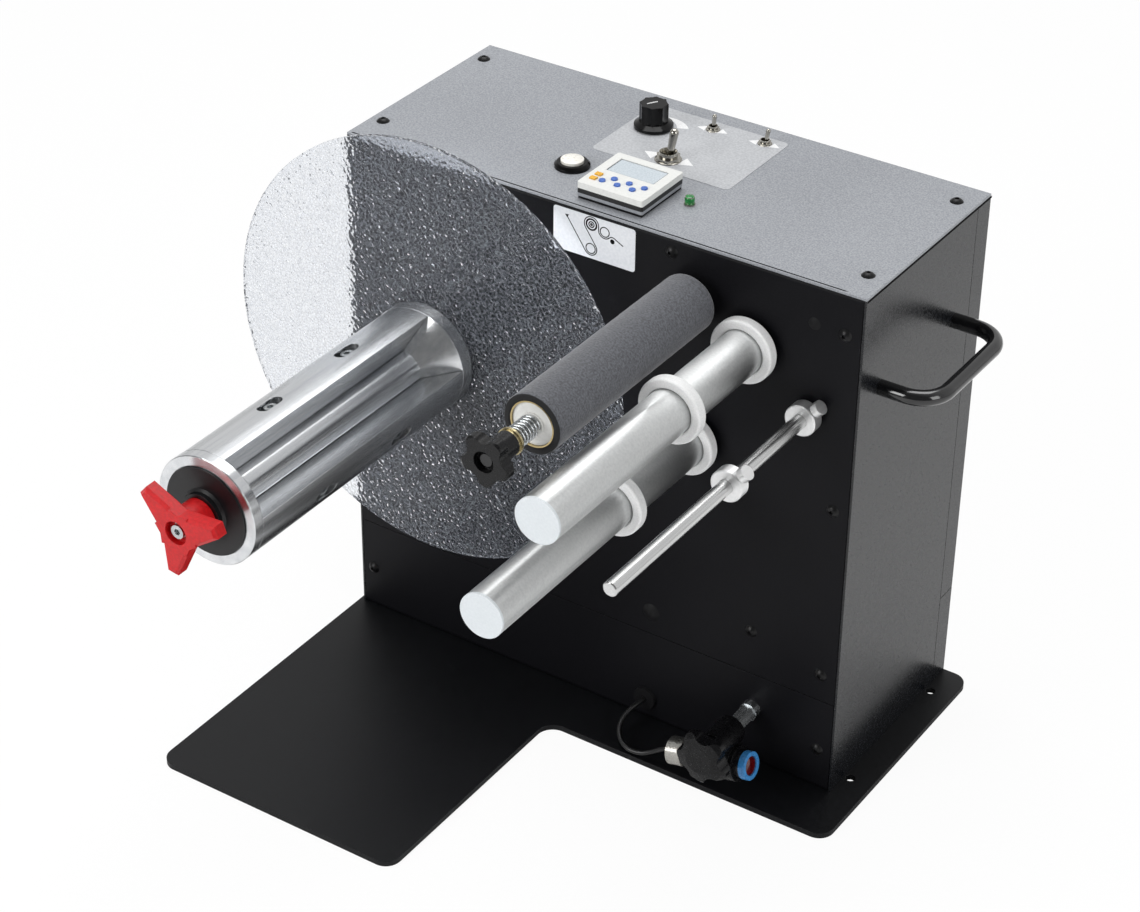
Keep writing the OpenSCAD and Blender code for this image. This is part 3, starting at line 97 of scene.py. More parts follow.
def coat(tree, shader, shade, dark, light, smooth, rough, relief, depth, edge=0.0):
    """Wires colour and roughness to a shade from 0 to 1, and a relief of this depth in millimetres,
    over edges rounded to a radius."""
    mix = add(tree, "Mix", {0: shade, 6: linear(dark), 7: linear(light)}, data_type="RGBA")
    spread = add(tree, "MapRange", {"Value": shade, "To Min": smooth, "To Max": rough})
    bump = add(tree, "Bump", {"Height": relief, "Distance": depth / 1000})
    if edge:
        corner = add(tree, "Bevel", {"Radius": edge / 1000}, samples=4)
        tree.links.new(corner.outputs[0], bump.inputs["Normal"])
    for node, output, name in ((mix, 2, "Base Color"), (spread, 0, "Roughness"), (bump, 0, "Normal")):
        tree.links.new(node.outputs[output], shader.inputs[name])


# A moulded, plated or ground surface has a grain of a tenth of a millimetre or less, too fine to
# show, so all such grains below are drawn one to three millimetres wide
def grained(name, dark, light, grain, depth, smooth, rough, cloud=90, edge=0.0, **look):
    """A finish between two colours and two roughnesses, with a grain of this width and depth over
    broad, faint patches, and rounded edges, all in millimetres."""
    patches, darkest, lightest = 0.25, 0.42, 0.83
    material, tree, shader, place = finish_of(name, **look)
    fine = add(tree, "TexNoise", {"Vector": place, "Scale": per(grain), "Detail": 3.0}).outputs[0]
    broad = add(tree, "TexNoise", {"Vector": place, "Scale": per(cloud), "Detail": 2.0}).outputs[0]
    both = add(tree, "Math", {0: broad, 1: patches, 2: fine}, operation="MULTIPLY_ADD").outputs[0]
    shade = add(tree, "MapRange", {"Value": both, "From Min": darkest, "From Max": lightest}).outputs[0]
    coat(tree, shader, shade, dark, light, smooth, rough, fine, depth, edge)
    return material


def dress(material, *names):
    """Gives CAD nodes a finish."""
    for name in names:
        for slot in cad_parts[name].material_slots:
            slot.material = material


# Satin black powder coat: near black, its grain only shows where it catches the light. This front
# copy is painted a shade darker than the sides' copy, as painted shade of the front
front_coat_shaded_copy = grained("satin_black_powder_coat", "#08080b", "#111115", PEEL, 0.03, 0.42, 0.56, edge=BEND,
                     Specular_IOR_Level=0.13)
# The same coat on the big flat sides, where it mirrors the bright room as a soft grey; this copy is
# painted a shade lighter than the front's, for the sides' lit grey
side_coat_lit_copy = grained("smooth_black_powder_coat", "#0d0e11", "#16181c", PEEL, 0.006, 0.22, 0.3,
                    cloud=140, edge=BEND, Specular_IOR_Level=0.45)
# Fine-textured powder coat of the cover, with a leathery speckle: its silvery light grey is partly
# the coat's own colour and partly painted sheen of the light from above
cover_coat_and_painted_sheen = grained("textured_powder_coat_and_painted_sheen", "#7b7e84", "#a5a8ad", 1.1, 0.1, 0.4, 0.55, cloud=160,
                     edge=BEND)
# Thick black coat of the laser-cut base plate
base_coat = grained("base_plate_powder_coat", "#08080a", "#101114", PEEL, 0.03, 0.36, 0.5, edge=BEND,
                    Specular_IOR_Level=0.22)
# Black oxide on the screws: a thin oily film over steel
black_oxide = grained("black_oxide_steel", "#070708", "#121213", 0.8, 0.01, 0.3, 0.42,
                      Specular_IOR_Level=0.25)
# Moulded rubber plugs and grommet: matt, faintly dusty
seal_rubber = grained("moulded_seal_rubber", "#08080a", "#121214", 1.2, 0.03, 0.5, 0.65,
                      Specular_IOR_Level=0.2)
dress(front_coat_shaded_copy, "front_panel_upper", "front_panel_lower")
dress(side_coat_lit_copy, "side_panels", "rear_panels")
dress(cover_coat_and_painted_sheen, "top_cover")
dress(base_coat, "base_plate")
dress(black_oxide, "panel_screws")
dress(seal_rubber, "rubber_seals")

# Carry handle: a bent steel rod in gloss black enamel, so wet-looking that it only shows as
# white glints along its length.
gloss_enamel = grained("gloss_black_enamel", "#050506", "#0a0a0c", 4, 0.01, 0.1, 0.16, Coat_Weight=0.5,
                       Coat_Roughness=0.05)
dress(gloss_enamel, "carry_handle")

# Spindle drive and power supply, out of sight in the cabinet: painted castings and a green
# circuit board.


def parted(name, measure, parts, grain, depth, smooth, rough, edge=0.0, **look):
    """One finish for a node of several materials: each part of (start in millimetres, dark, light,
    metal) lies beyond its start by the measure, over the part before it."""
    material, tree, shader, place = finish_of(name, **look)
    fine = add(tree, "TexNoise", {"Vector": place, "Scale": per(grain), "Detail": 3.0}).outputs[0]
    coat(tree, shader, fine, parts[0][1], parts[0][2], smooth, rough, fine, depth, edge)
    colour, metal = shader.inputs["Base Color"].links[0].from_socket, float(parts[0][3])
    far = measure(tree, place)
    for start, dark, light, is_metal in parts[1:]:
        beyond = add(tree, "Math", {0: far, 1: start / 1000}, operation="GREATER_THAN").outputs[0]
        own = add(tree, "Mix", {0: fine, 6: linear(dark), 7: linear(light)}, data_type="RGBA").outputs[2]
        colour = add(tree, "Mix", {0: beyond, 6: colour, 7: own}, data_type="RGBA").outputs[2]
        metal = add(tree, "Mix", {0: beyond, 2: metal, 3: float(is_metal)}, data_type="FLOAT").outputs[0]
    tree.links.new(colour, shader.inputs["Base Color"])
    tree.links.new(metal, shader.inputs["Metallic"])
    return material


def reach(start, toward):
    """A measure: how far a point lies along a direction from a start in millimetres."""
    def measure(tree, place):
        off = add(tree, "VectorMath", {0: place, 1: Vector(start) / 1000}, operation="SUBTRACT").outputs[0]
        return add(tree, "VectorMath", {0: off, 1: toward}, operation="DOT_PRODUCT").outputs["Value"]
    return measure


# Hammered paint over cast housings: mid grey and a little metallic
drive_paint = grained("hammered_drive_paint", "#5b5e62", "#74777b", 2.5, 0.08, 0.4, 0.55, Metallic=0.3)
# The board is green lacquer; the power inlet that ends it in the rear panel is black plastic
INLET_FROM = 128
board_and_inlet = parted("circuit_board_and_black_inlet", reach((0, 0, 0), (0, 1, 0)), [
    (0, "#1d3427", "#2f4c3a", 0), (INLET_FROM, "#08080a", "#131316", 0)], 1.5, 0.02, 0.35, 0.5)
dress(drive_paint, "spindle_drive")
dress(board_and_inlet, "power_unit")

# Core chuck: three jaws, two cones and a hub of aluminium bar, turned in the lathe, then
# polished lengthwise. The fine rings of the tool spread every highlight along the jaw.

# The highlight runs square to the rings: a quarter turn
ALONG_AXIS = 0.25
# In millimetres: the rings' unbroken length and depth, and the bands' length. A real tool's
# rings are about 0.1 apart, too fine to show, so each metal below has them coarser
RING_LENGTH, RING_DEPTH, BAND_LENGTH = 60, 0.0015, 180


def turned_metal(name, dark, light, ring, smooth, rough, across, edge=0.0, spread=0.85):
    """Lathe-turned metal: rings this wide, square to an axis along Y, draw every highlight out along
    the axis, and faint bands, so wide across, run lengthwise."""
    material, tree, shader, place = finish_of(name, Metallic=1.0, Anisotropic=spread,
                                              Anisotropic_Rotation=ALONG_AXIS)
    tangent = add(tree, "Tangent", direction_type="RADIAL", axis="Y").outputs[0]
    tree.links.new(tangent, shader.inputs["Tangent"])
    around = {"Vector": place, "Scale": (per(RING_LENGTH), per(ring), per(RING_LENGTH))}
    rings = add(tree, "Mapping", around).outputs[0]
    tool = add(tree, "TexNoise", {"Vector": rings, "Scale": 1.0, "Detail": 1.0}).outputs[0]
    lengthwise = {"Vector": place, "Scale": (per(across), per(BAND_LENGTH), per(across))}
    bands = add(tree, "Mapping", lengthwise).outputs[0]
    band = add(tree, "TexNoise", {"Vector": bands, "Scale": 1.0, "Detail": 4.0}).outputs[0]
    coat(tree, shader, band, dark, light, smooth, rough, tool, RING_DEPTH, edge)
    return material


# Turned and polished aluminium: white-grey metal with long soft streaks
chuck_metal = turned_metal("turned_polished_aluminium", "#b6b9bd", "#eeeff0", 0.9, 0.21, 0.29, 6, edge=0.4)
dress(chuck_metal, "jaw_1", "jaw_2", "jaw_3", "chuck_hub", "front_cone")
# Bright zinc on the screws: bluish and a little cloudy
zinc_plate = turned_metal("bright_zinc_plate", "#9fa3a6", "#cfd2d3", 0.7, 0.2, 0.32, 2)
dress(zinc_plate, "jaw_screws", "draw_screw", "sensor_stud")
# Ground steel of the shafts and the edge rod: bright and straight-grained
ground_steel = turned_metal("ground_steel", "#b9babb", "#e2e2e1", 0.6, 0.16, 0.26, 1.5)
dress(ground_steel, "spindle_shaft", "edge_rod")
# The roller shafts are the same steel; the end that the knob is screwed on is blackened
BLACKENED_FROM = 212
shaft_steel = parted("ground_and_blackened_steel", reach((0, 0, 0), (0, -1, 0)), [
    (0, "#b9babb", "#dcdcdb", 1), (BLACKENED_FROM, "#08080a", "#161618", 0)], 0.6, 0.004, 0.2, 0.3)
dress(shaft_steel, "roller_shafts")
# Moulded black nylon of the end plate: satin, with a slight shine
black_nylon = grained("moulded_black_nylon", "#08080a", "#121215", 1.4, 0.015, 0.3, 0.42, edge=0.3,
                      Specular_IOR_Level=0.35)
dress(black_nylon, "end_plate")
# Moulded red ABS of the wing knob: saturated, with softly rounded edges
red_abs = grained("moulded_red_abs", "#ad060c", "#c90d14", 2.2, 0.02, 0.34, 0.46, cloud=25, edge=0.8,
                  Specular_IOR_Level=0.35)
dress(red_abs, "wing_knob")

# Flange disc: clear polycarbonate sheet with a leather grain rolled into its rear face. It is pale
# over white and dark over the cabinet, its grain breaks the cabinet's edge up and glints, the glints
# and the folds' shade partly painted in as a pale grey, and its smooth front mirrors the chuck.

# The index and the relief's depth in millimetres were set against the photograph: the index of
# polycarbonate is about 1.58, and the real grain is shallower
INDEX, RELIEF = 1.16, 1.32
# In millimetres: the width of a grain cell, how far the cells wander, and over what length
CELL, WANDER, WANDER_LENGTH = 2.8, 3, 5
# The folds between the cells: their width as a share of a cell, and their share of a pale matt grey,
# painted glints and painted shade where the folds bend the light
FOLD, FOLD_GLINT_SHARE = 0.16, 0.26
disc_sheet, tree, shader, place = finish_of("grained_clear_polycarbonate", Transmission_Weight=1.0, IOR=INDEX,
                                            Specular_IOR_Level=0.3, Coat_Weight=0.12, Coat_Roughness=0.05)
wander = add(tree, "TexNoise", {"Vector": place, "Scale": per(WANDER_LENGTH), "Detail": 2.0})
shift = add(tree, "VectorMath", {0: wander.outputs["Color"], 3: WANDER / 1000}, operation="SCALE").outputs[0]
near = add(tree, "VectorMath", {0: place, 1: shift}).outputs[0]
hide = add(tree, "TexVoronoi", {"Vector": near, "Scale": per(CELL)}, feature="SMOOTH_F1").outputs[0]
crease = add(tree, "TexVoronoi", {"Vector": near, "Scale": per(CELL)}, feature="DISTANCE_TO_EDGE").outputs[0]
coat(tree, shader, hide, "#eceff4", "#fbfcfd", 0.02, 0.06, hide, RELIEF)
# A pale matt grey in the folds: painted glints over the dark cabinet and painted shade over the white
fold_glint_and_shade = add(tree, "BsdfDiffuse", {"Color": linear("#979ca5")})
fold = add(tree, "MapRange", {"Value": crease, "From Min": 0.0, "From Max": FOLD, "To Min": FOLD_GLINT_SHARE,
                              "To Max": 0.0}).outputs[0]
painted_folds = add(tree, "MixShader", {0: fold, 1: shader.outputs[0], 2: fold_glint_and_shade.outputs[0]})
through = add(tree, "MixShader", {0: add(tree, "LightPath").outputs["Is Shadow Ray"], 1: painted_folds.outputs[0],
                                  2: add(tree, "BsdfTransparent").outputs[0]})
tree.links.new(through.outputs[0], tree.nodes["Material Output"].inputs["Surface"])
dress(disc_sheet, "flange_disc")

# Foam roller: a sleeve of fine-celled foam rubber on a brass tube, closed by white plugs. The
# sleeve is ground round, so it is dusty grey outside and black where its end is cut.

# In millimetres: the roller's axis, the sleeve's radius and bore, and its two ends
FOAM_X, FOAM_Z, FOAM_R, FOAM_BORE = 191.0, 339.6, 19.4, 14.98
FOAM_REAR, FOAM_FRONT = -8.0, -176.2


def piece(name, points, faces, materials, body, smooth=True, which=None):
    """A mesh from points in millimetres, riding on a body. With several materials, which gives each
    face's own."""
    mesh = bpy.data.meshes.new(name)
    mesh.from_pydata([Vector(p) / 1000 for p in points], [], faces)
    for material in materials if isinstance(materials, list) else [materials]:
        mesh.materials.append(material)
    for face in mesh.polygons:
        face.use_smooth = smooth
        face.material_index = which(face) if which else 0
    tidy = bmesh.new()
    tidy.from_mesh(mesh)
    bmesh.ops.recalc_face_normals(tidy, faces=tidy.faces)
    tidy.to_mesh(mesh)
    tidy.free()
    thing = bpy.data.objects.new(name, mesh)
    bpy.context.collection.objects.link(thing)
    if body:
        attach(thing, body)
    return thing


def rings_to_faces(count, sides, closed):
    """The faces between rings of points, joined round to the first ring or capped."""
    faces = []
    for ring in range(count if closed else count - 1):
        for side in range(sides):
            a, b = ring * sides + side, ring * sides + (side + 1) % sides
            c, d = ((ring + 1) % count) * sides + side, ((ring + 1) % count) * sides + (side + 1) % sides
            faces.append((a, b, d, c))
    if not closed:
        faces += [tuple(range(sides)), tuple(range((count - 1) * sides, count * sides))]
    return faces


def lathe(profile, centre, toward, sides):
    """Rings of a profile of (radius, distance along toward) turned about a centre."""
    toward = Vector(toward).normalized()
    across = toward.orthogonal().normalized()
    other = toward.cross(across)
    turns = [2 * math.pi * s / sides for s in range(sides)]
    return [Vector(centre) + toward * along + (across * math.cos(turn) + other * math.sin(turn)) * radius
            for radius, along in profile for turn in turns]


def turned(name, profile, centre, toward, sides, closed, materials, body, which=None):
    """A turned piece of a closed profile, or of an open one with its first and last ring capped."""
    return piece(name, lathe(profile, centre, toward, sides), rings_to_faces(len(profile), sides, closed),
                 materials, body, which=which)


def cut_side(face):
    """The cut foam, 1, for the sleeve's ends and its bore, and the ground foam, 0, elsewhere."""
    off_axis = (face.center.xz - Vector((FOAM_X, FOAM_Z)) / 1000).length
    return int(abs(face.normal.y) > 0.8 or off_axis < (FOAM_BORE + 0.5) / 1000)


# The ends are worn round within a millimetre, and the grinding leaves slight waves: their height
# in millimetres, their step in radians from one ring of points to the next, and the rings
WAVE, WAVE_STEP, RINGS = 0.05, 1.7, 50
foam_end = [(FOAM_R - 0.9, 0), (FOAM_R - 0.25, 0.3), (FOAM_R - 0.02, 1)]
length = FOAM_REAR - FOAM_FRONT
ground = [(FOAM_R - WAVE + WAVE * math.sin(k * WAVE_STEP), length * k / RINGS) for k in range(1, RINGS)]
foam_profile = ([(FOAM_BORE, 0)] + foam_end + ground
                + [(r, length - y) for r, y in reversed(foam_end)] + [(FOAM_BORE, length)])
# Ground foam rubber: soft dark grey with tiny open cells
ground_foam, tree, shader, place = finish_of("ground_foam_rubber", Sheen_Weight=0.4, Sheen_Roughness=0.45)
cells = add(tree, "TexNoise", {"Vector": place, "Scale": per(1.3), "Detail": 2.0}).outputs[0]
speckle = add(tree, "MapRange", {"Value": cells, "From Min": 0.3, "From Max": 0.7}).outputs[0]
coat(tree, shader, speckle, "#37383d", "#62646a", 0.7, 0.9, cells, 0.25)
# Knife-cut foam: black and matt
cut_foam = grained("cut_foam_rubber", "#0b0b0c", "#1d1d1f", 1.0, 0.1, 0.75, 0.9)
sleeve = turned("foam_roller_sleeve", foam_profile, (FOAM_X, FOAM_REAR, FOAM_Z), (0, -1, 0), 96, True,
                [ground_foam, cut_foam], "foam_roller", which=cut_side)
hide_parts("foam_sleeve")

# Brass tube and white acetal plugs, one piece in the CAD: the rim of the tube is brass from a
# radius of 14 mm outwards, and all that lies inside it is plug
PLUG_R = 13.98


def from_roller_axis(tree, place):
    """A measure: how far a point lies from the foam roller's axis."""
    axis = (FOAM_X / 1000, 0, FOAM_Z / 1000)
    off = add(tree, "VectorMath", {0: place, 1: axis}, operation="SUBTRACT").outputs[0]
    flat = add(tree, "VectorMath", {0: off, 1: (1, 0, 1)}, operation="MULTIPLY").outputs[0]
    return add(tree, "VectorMath", {0: flat}, operation="LENGTH").outputs["Value"]


core_finish = parted("brass_tube_and_acetal_plugs", from_roller_axis, [
    (0, "#cfcfcc", "#e6e6e3", 0), (PLUG_R, "#94815a", "#cbb98c", 1)], 2, 0.01, 0.28, 0.42)
dress(core_finish, "roller_core")
# Turned brass of the washers: pale yellow, tarnished in bands
brass_washer = turned_metal("turned_brass", "#8b8064", "#c9bd97", 0.8, 0.2, 0.34, 2)
dress(brass_washer, "tension_washers")

# Tension spring: round zinc-plated wire wound in six coils, pressed between the roller's plug
# and the washers. The real one shortens as the knob is screwed in; this one keeps its length and
# rides with the washers.

# In millimetres: the first and last coil's middles, and the coils' and the wire's radius
SPRING_FROM, SPRING_TO, SPRING_R, WIRE_R = -177.65, -195.55, 6.4, 0.8
COILS, PER_COIL, WIRE_SIDES = 6, 28, 10


def tube(path, radius, sides):
    """Rings of points round a path in millimetres, kept from twisting."""
    turns = [2 * math.pi * s / sides for s in range(sides)]
    rings, side = [], None
    for k, point in enumerate(path):
        along = (path[min(k + 1, len(path) - 1)] - path[max(k - 1, 0)]).normalized()
        side = (along.orthogonal() if side is None else side - along * side.dot(along)).normalized()
        up = along.cross(side)
        rings += [point + (side * math.cos(turn) + up * math.sin(turn)) * radius for turn in turns]
    return rings


steps = COILS * PER_COIL
coil = [Vector((FOAM_X + SPRING_R * math.cos(2 * math.pi * k / PER_COIL),
                SPRING_FROM + (SPRING_TO - SPRING_FROM) * k / steps,
                FOAM_Z + SPRING_R * math.sin(2 * math.pi * k / PER_COIL))) for k in range(steps + 1)]
spring = piece("tension_spring_wire", tube(coil, WIRE_R, WIRE_SIDES),
               rings_to_faces(len(coil), WIRE_SIDES, False), zinc_plate, "tension_washers")
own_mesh(spring)
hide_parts("tension_spring")

# Tension and sensor knobs and the sensor's clamp: glass-filled nylon mouldings, satin black with
# bright glints on their rounded lobes.
knob_nylon = grained("moulded_knob_nylon", "#070708", "#101012", 1.2, 0.02, 0.22, 0.34, cloud=20, edge=0.5,
                     Specular_IOR_Level=0.25)
dress(knob_nylon, "tension_knob", "sensor_knob", "sensor_clamp")

# Guide rollers: drawn aluminium tube, satin anodised, with a pale moulded cap in each end. The
# caps are the first and the last 1.6 mm of each roller.
GUIDE_MIDDLE, CAP_FROM = -117.3, 111.7


def from_roller_middle(tree, place):
    """A measure: how far a point lies from the middle of the guide rollers, either way."""
    along = reach((0, GUIDE_MIDDLE, 0), (0, 1, 0))(tree, place)
    return add(tree, "Math", {0: along}, operation="ABSOLUTE").outputs[0]


roller_finish = parted("satin_anodised_tube_and_caps", from_roller_middle, [
    (0, "#bcbebf", "#dcdddc", 1), (CAP_FROM, "#ccd2d6", "#dde2e5", 0)], 1.6, 0.008, 0.4, 0.5, 0.4,
    Anisotropic=0.7, Anisotropic_Rotation=ALONG_AXIS)
dress(roller_finish, "guide_roller_upper", "guide_roller_lower")
# Turned nylon collars: milky white, with faint tool rings
turned_nylon = grained("turned_white_nylon", "#dcdddd", "#ececec", 1.0, 0.02, 0.35, 0.5, cloud=12,
                       Subsurface_Weight=0.15, Subsurface_Radius=(0.002, 0.002, 0.002), Subsurface_Scale=1.0)
dress(turned_nylon, "upper_collar_rear", "upper_collar_front", "lower_collar_rear", "lower_collar_front")

# Edge rod collars and their thumb screws: turned aluminium, almost white under the lamps. Each
# collar slides on the edge rod and is held by its screw.
stop_metal = turned_metal("turned_bright_aluminium", "#dcdddd", "#f5f5f5", 0.8, 0.35, 0.45, 2, edge=0.3,
                          spread=0.4)
dress(stop_metal, "stop_collar_rear", "stop_collar_front", "thumb_screw_rear", "thumb_screw_front")

# Label sensor: a barrel with a nickel-plated gland at the cable's end and a blue ring round the
# dark red lens at the other, tilted up by 12.9 degrees.
TILT = math.radians(12.9)
# In millimetres: the stud's axis and the barrel's distance before the front, the barrel's drop
# under the stud, its reach from there back to the cable, its length, its gland and its ring
SENSOR_X, SENSOR_Y, SENSOR_Z = 246.8, -38.0, 46.5
DROP, REACH, BARREL, GLAND, BLUE_RING = 17.6, 41.8, 61.0, 11.2, 4.7
to_lens = Vector((math.cos(TILT), 0, math.sin(TILT)))
clamp_middle = Vector((SENSOR_X + DROP * math.sin(TILT), SENSOR_Y, SENSOR_Z - DROP * math.cos(TILT)))
barrel_finish = parted("sensor_barrel_and_gland", reach(clamp_middle, to_lens), [
    (0, "#a5a39d", "#d0cec8", 1), (GLAND - REACH, "#0c0c0f", "#1b1b1f", 0),
    (BARREL - REACH - BLUE_RING, "#2a6cb0", "#4a9bd8", 0)], 1.5, 0.012, 0.22, 0.36, 0.4)
dress(barrel_finish, "sensor_barrel")
# The lens: dark red acrylic, slightly domed, in the ring
red_acrylic = grained("dark_red_acrylic", "#3b0508", "#5d0a10", 2, 0.01, 0.05, 0.1, Coat_Weight=0.6,
                      Coat_Roughness=0.03)
LENS_R, LENS_RIM, LENS_DOME = 6.5, -0.9, 0.8
lens_face = clamp_middle + to_lens * (BARREL - REACH)
lens_arc = [k * math.pi / 16 for k in range(8)]
lens_profile = ([(LENS_R, -1.15)]
                + [(LENS_R * math.cos(a), LENS_RIM + LENS_DOME * math.sin(a)) for a in lens_arc]
                + [(0.05, LENS_RIM + LENS_DOME)])
lens = turned("sensor_lens", lens_profile, lens_face, to_lens, 48, False, red_acrylic, "sensor_head")

# Sensor cable: black PVC, 3.5 mm thick, out of the grommet in the front panel, round in a short
# loop over the base plate and into the sensor's gland. The real one bends with the sensor; this one
# stays where it is drawn.
CABLE_R, CABLE_SIDES = 1.75, 20
CABLE_ROUTE = [
    (164.7, -2.5, 19.6), (163.4, -9, 19), (161.8, -15.5, 17.5), (161.4, -22.5, 15), (163, -29.5, 12),
    (167, -35, 9.4), (171.6, -38.2, 8), (177, -40, 7.2), (182.4, -40.3, 7.4), (187, -40, 8.3),
    (190.1, -39.5, 9.4), (194, -38.8, 11.5), (198.5, -38.3, 14.5), (203.6, -38, 18), (209.2, -38, 19.8)]
# Extruded PVC: black, a little shiny, with a faint draw line
cable_pvc = grained("extruded_black_pvc", "#0a0a0b", "#151516", 1.5, 0.02, 0.28, 0.4)


def smoothed(points, parts):
    """A smooth line through points, with so many steps from each to the next."""
    points = [Vector(p) for p in points]
    line = []
    for k in range(len(points) - 1):
        a, b, c, d = (points[max(k - 1, 0)], points[k], points[k + 1], points[min(k + 2, len(points) - 1)])
        for step in range(parts):
            t = step / parts
            line.append(0.5 * (2 * b + (c - a) * t + (2 * a - 5 * b + 4 * c - d) * t * t
                               + (3 * b - a - 3 * c + d) * t ** 3))
    return line + [points[-1]]


cable_line = smoothed(CABLE_ROUTE, 6)
# Its skin lies a hundredth of a millimetre inside the CAD's
cable = piece("sensor_lead", tube(cable_line, CABLE_R - 0.01, CABLE_SIDES),
              rings_to_faces(len(cable_line), CABLE_SIDES, False), cable_pvc, None)
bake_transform(cable)
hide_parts("sensor_cable")

# Switches and lamp in the cover: nickel-plated bushes, nuts and levers, bright enough to mirror
# the cover and the room as sharp dark and white lines.
nickel = turned_metal("bright_nickel_plate", "#8d8a83", "#b9b6ae", 1.5, 0.08, 0.14, 5, spread=0.0)
dress(nickel, "top_bushes", "direction_toggle_lever", "left_toggle_lever", "right_toggle_lever")
COVER_Z = 376.0
# The washers lie on the printed film, which is 0.3 mm thick
ON_FILM = 0.32
for name, x, y, inner, outer, height in (("direction_toggle_washer", 117.9, 85, 5.9, 8.9, 1.1),
                                         ("left_toggle_washer", 119.4, 137.5, 3.1, 4.9, 0.6),
                                         ("right_toggle_washer", 157.2, 139.4, 3.1, 4.9, 0.6)):
    rim = height / 3
    profile = [(inner, ON_FILM), (outer, ON_FILM), (outer, height - rim), (outer - rim, height),
               (inner + rim, height)]
    washer = turned(name, profile, (x, y, COVER_Z), (0, 0, 1), 48, True, nickel, "cabinet")
# Ready lamp: a rounded green lens pushed over the CAD's lamp, tinted right through
green_lens = grained("green_acrylic_lens", "#014d1a", "#03852f", 2, 0.02, 0.08, 0.16, cloud=6,
                     Coat_Weight=0.25, Coat_Roughness=0.04, Emission_Color=linear("#0a8f43"),
                     Emission_Strength=0.12)
lamp_profile = [(3.25, 1.05), (3.25, 4.4), (3.05, 5.2), (2.5, 5.75), (1.4, 6.05), (0.05, 6.15)]
lamp = turned("ready_lamp_lens", lamp_profile, (160.6, 41.6, COVER_Z), (0, 0, 1), 40, False, green_lens,
              "cabinet")

# Speed knob and button bezel: moulded in gloss black ABS. The knob has a white line inlaid in
# its top, and the bezel sits in its hole in the cover.
gloss_abs = grained("gloss_black_abs", "#040405", "#0a0a0b", 3, 0.01, 0.1, 0.18, cloud=20, edge=0.35,
                    Specular_IOR_Level=0.18)
dress(gloss_abs, "speed_knob", "button_bezel")
# Screen-printed white ink: flat and matt
white_ink = grained("white_screen_ink", "#e3e4e5", "#f5f5f5", 0.8, 0.01, 0.45, 0.6)


def sheet_of(name, outline, low, high, material, body, up=(0, 0, 1)):
    """A flat piece: an outline in millimetres, from one height to another along up."""
    up = Vector(up)
    count = len(outline)
    points = [Vector(p) + up * h for h in (low, high) for p in outline]
    faces = [tuple(range(count))[::-1], tuple(range(count, 2 * count))]
    faces += [(k, (k + 1) % count, count + (k + 1) % count, count + k) for k in range(count)]
    flat_piece = piece(name, points, faces, material, body, smooth=False)
    return flat_piece


def rounded(x0, x1, y0, y1, radius, steps=8):
    """The outline of a rectangle with round corners."""
    corners = ((x1 - radius, y0 + radius, -90), (x1 - radius, y1 - radius, 0), (x0 + radius, y1 - radius, 90),
               (x0 + radius, y0 + radius, 180))
    turns = [(cx, cy, math.radians(a + 90 * s / steps)) for cx, cy, a in corners for s in range(steps + 1)]
    return [(cx + radius * math.cos(turn), cy + radius * math.sin(turn)) for cx, cy, turn in turns]


KNOB_X, KNOB_Y, KNOB_TOP = 85.6, 118.7, 393.5
pointer = [Vector((x, y, KNOB_TOP)) for x, y in ((81.9, 115.7), (82.9, 114.7), (86.9, 121.3), (85.9, 122.3))]
sheet_of("speed_knob_line", pointer, -0.2, 0.0, white_ink, "speed_knob")

# Gaps of the cover: it lies between the folds of the front and the side, which leaves a dark slot
# along both edges. The slot's shade is painted as a dark line on the surface.
SLOT_LINE = 0.03
# Painted shadow of the slot: near black, it catches almost no light
slot_shadow = grained("slot_shadow_black", "#020203", "#08080a", 1.0, 0.01, 0.6, 0.7, Specular_IOR_Level=0.05)
front_slot = [(x, y, COVER_Z) for x, y in ((-71, 1.2), (293, 1.2), (294.5, 2.3), (-71, 2.3))]
side_slot = [(308.3, y, z) for y, z in ((0.8, 372.6), (162.2, 372.6), (162.2, 374.2), (0.8, 374.2))]
sheet_of("painted_slot_shadow_front", front_slot, 0.0, SLOT_LINE, slot_shadow, "cabinet")
sheet_of("painted_slot_shadow_side", side_slot, 0.0, SLOT_LINE, slot_shadow, "cabinet", up=(1, 0, 0))

# Push button: a domed cap moulded in off-white ABS, slightly glossy, which slides 2.5 mm in its
# black bezel.
button_abs = grained("off_white_abs", "#e4e1d8", "#f2f0ea", 2, 0.015, 0.25, 0.38, edge=0.5)
dress(button_abs, "push_button")

# Counter: a moulded light grey ABS case on a black gasket, in its hole in the cover, with a
# liquid-crystal window, two yellow and six blue keys.

# The CAD's case stands about 4 mm higher than the real one, so its lowest part has the cover's
# colours, painted sheen included; the black gasket and the light case follow from these heights in
# millimetres
GASKET_FROM, CASE_FROM = 4.2, 7.4
counter_abs = parted("light_grey_abs_on_gasket", reach((0, 0, COVER_Z), (0, 0, 1)), [
    (0, "#7b7e84", "#a5a8ad", 0), (GASKET_FROM, "#060607", "#0e0e10", 0),
    (CASE_FROM, "#d6d7d4", "#e9eae7", 0)], 1.6, 0.02, 0.3, 0.42, 0.6)
dress(counter_abs, "counter_case")
# Moulded ABS of the keys: plain colours, slightly glossy, with soft edges
yellow_abs = grained("yellow_abs", "#d69a1c", "#edb83a", 1.5, 0.02, 0.3, 0.4, edge=0.4)
blue_abs = grained("blue_abs", "#2f56a6", "#4a73c4", 1.5, 0.02, 0.25, 0.35, edge=0.5)
dress(yellow_abs, "counter_key_1", "counter_key_2")
dress(blue_abs, *[f"counter_key_{k}" for k in range(3, 9)])
COUNTER_X, COUNTER_Y, COUNTER_W, COUNTER_TOP = 98.3, 9.0, 48.0, 387.5
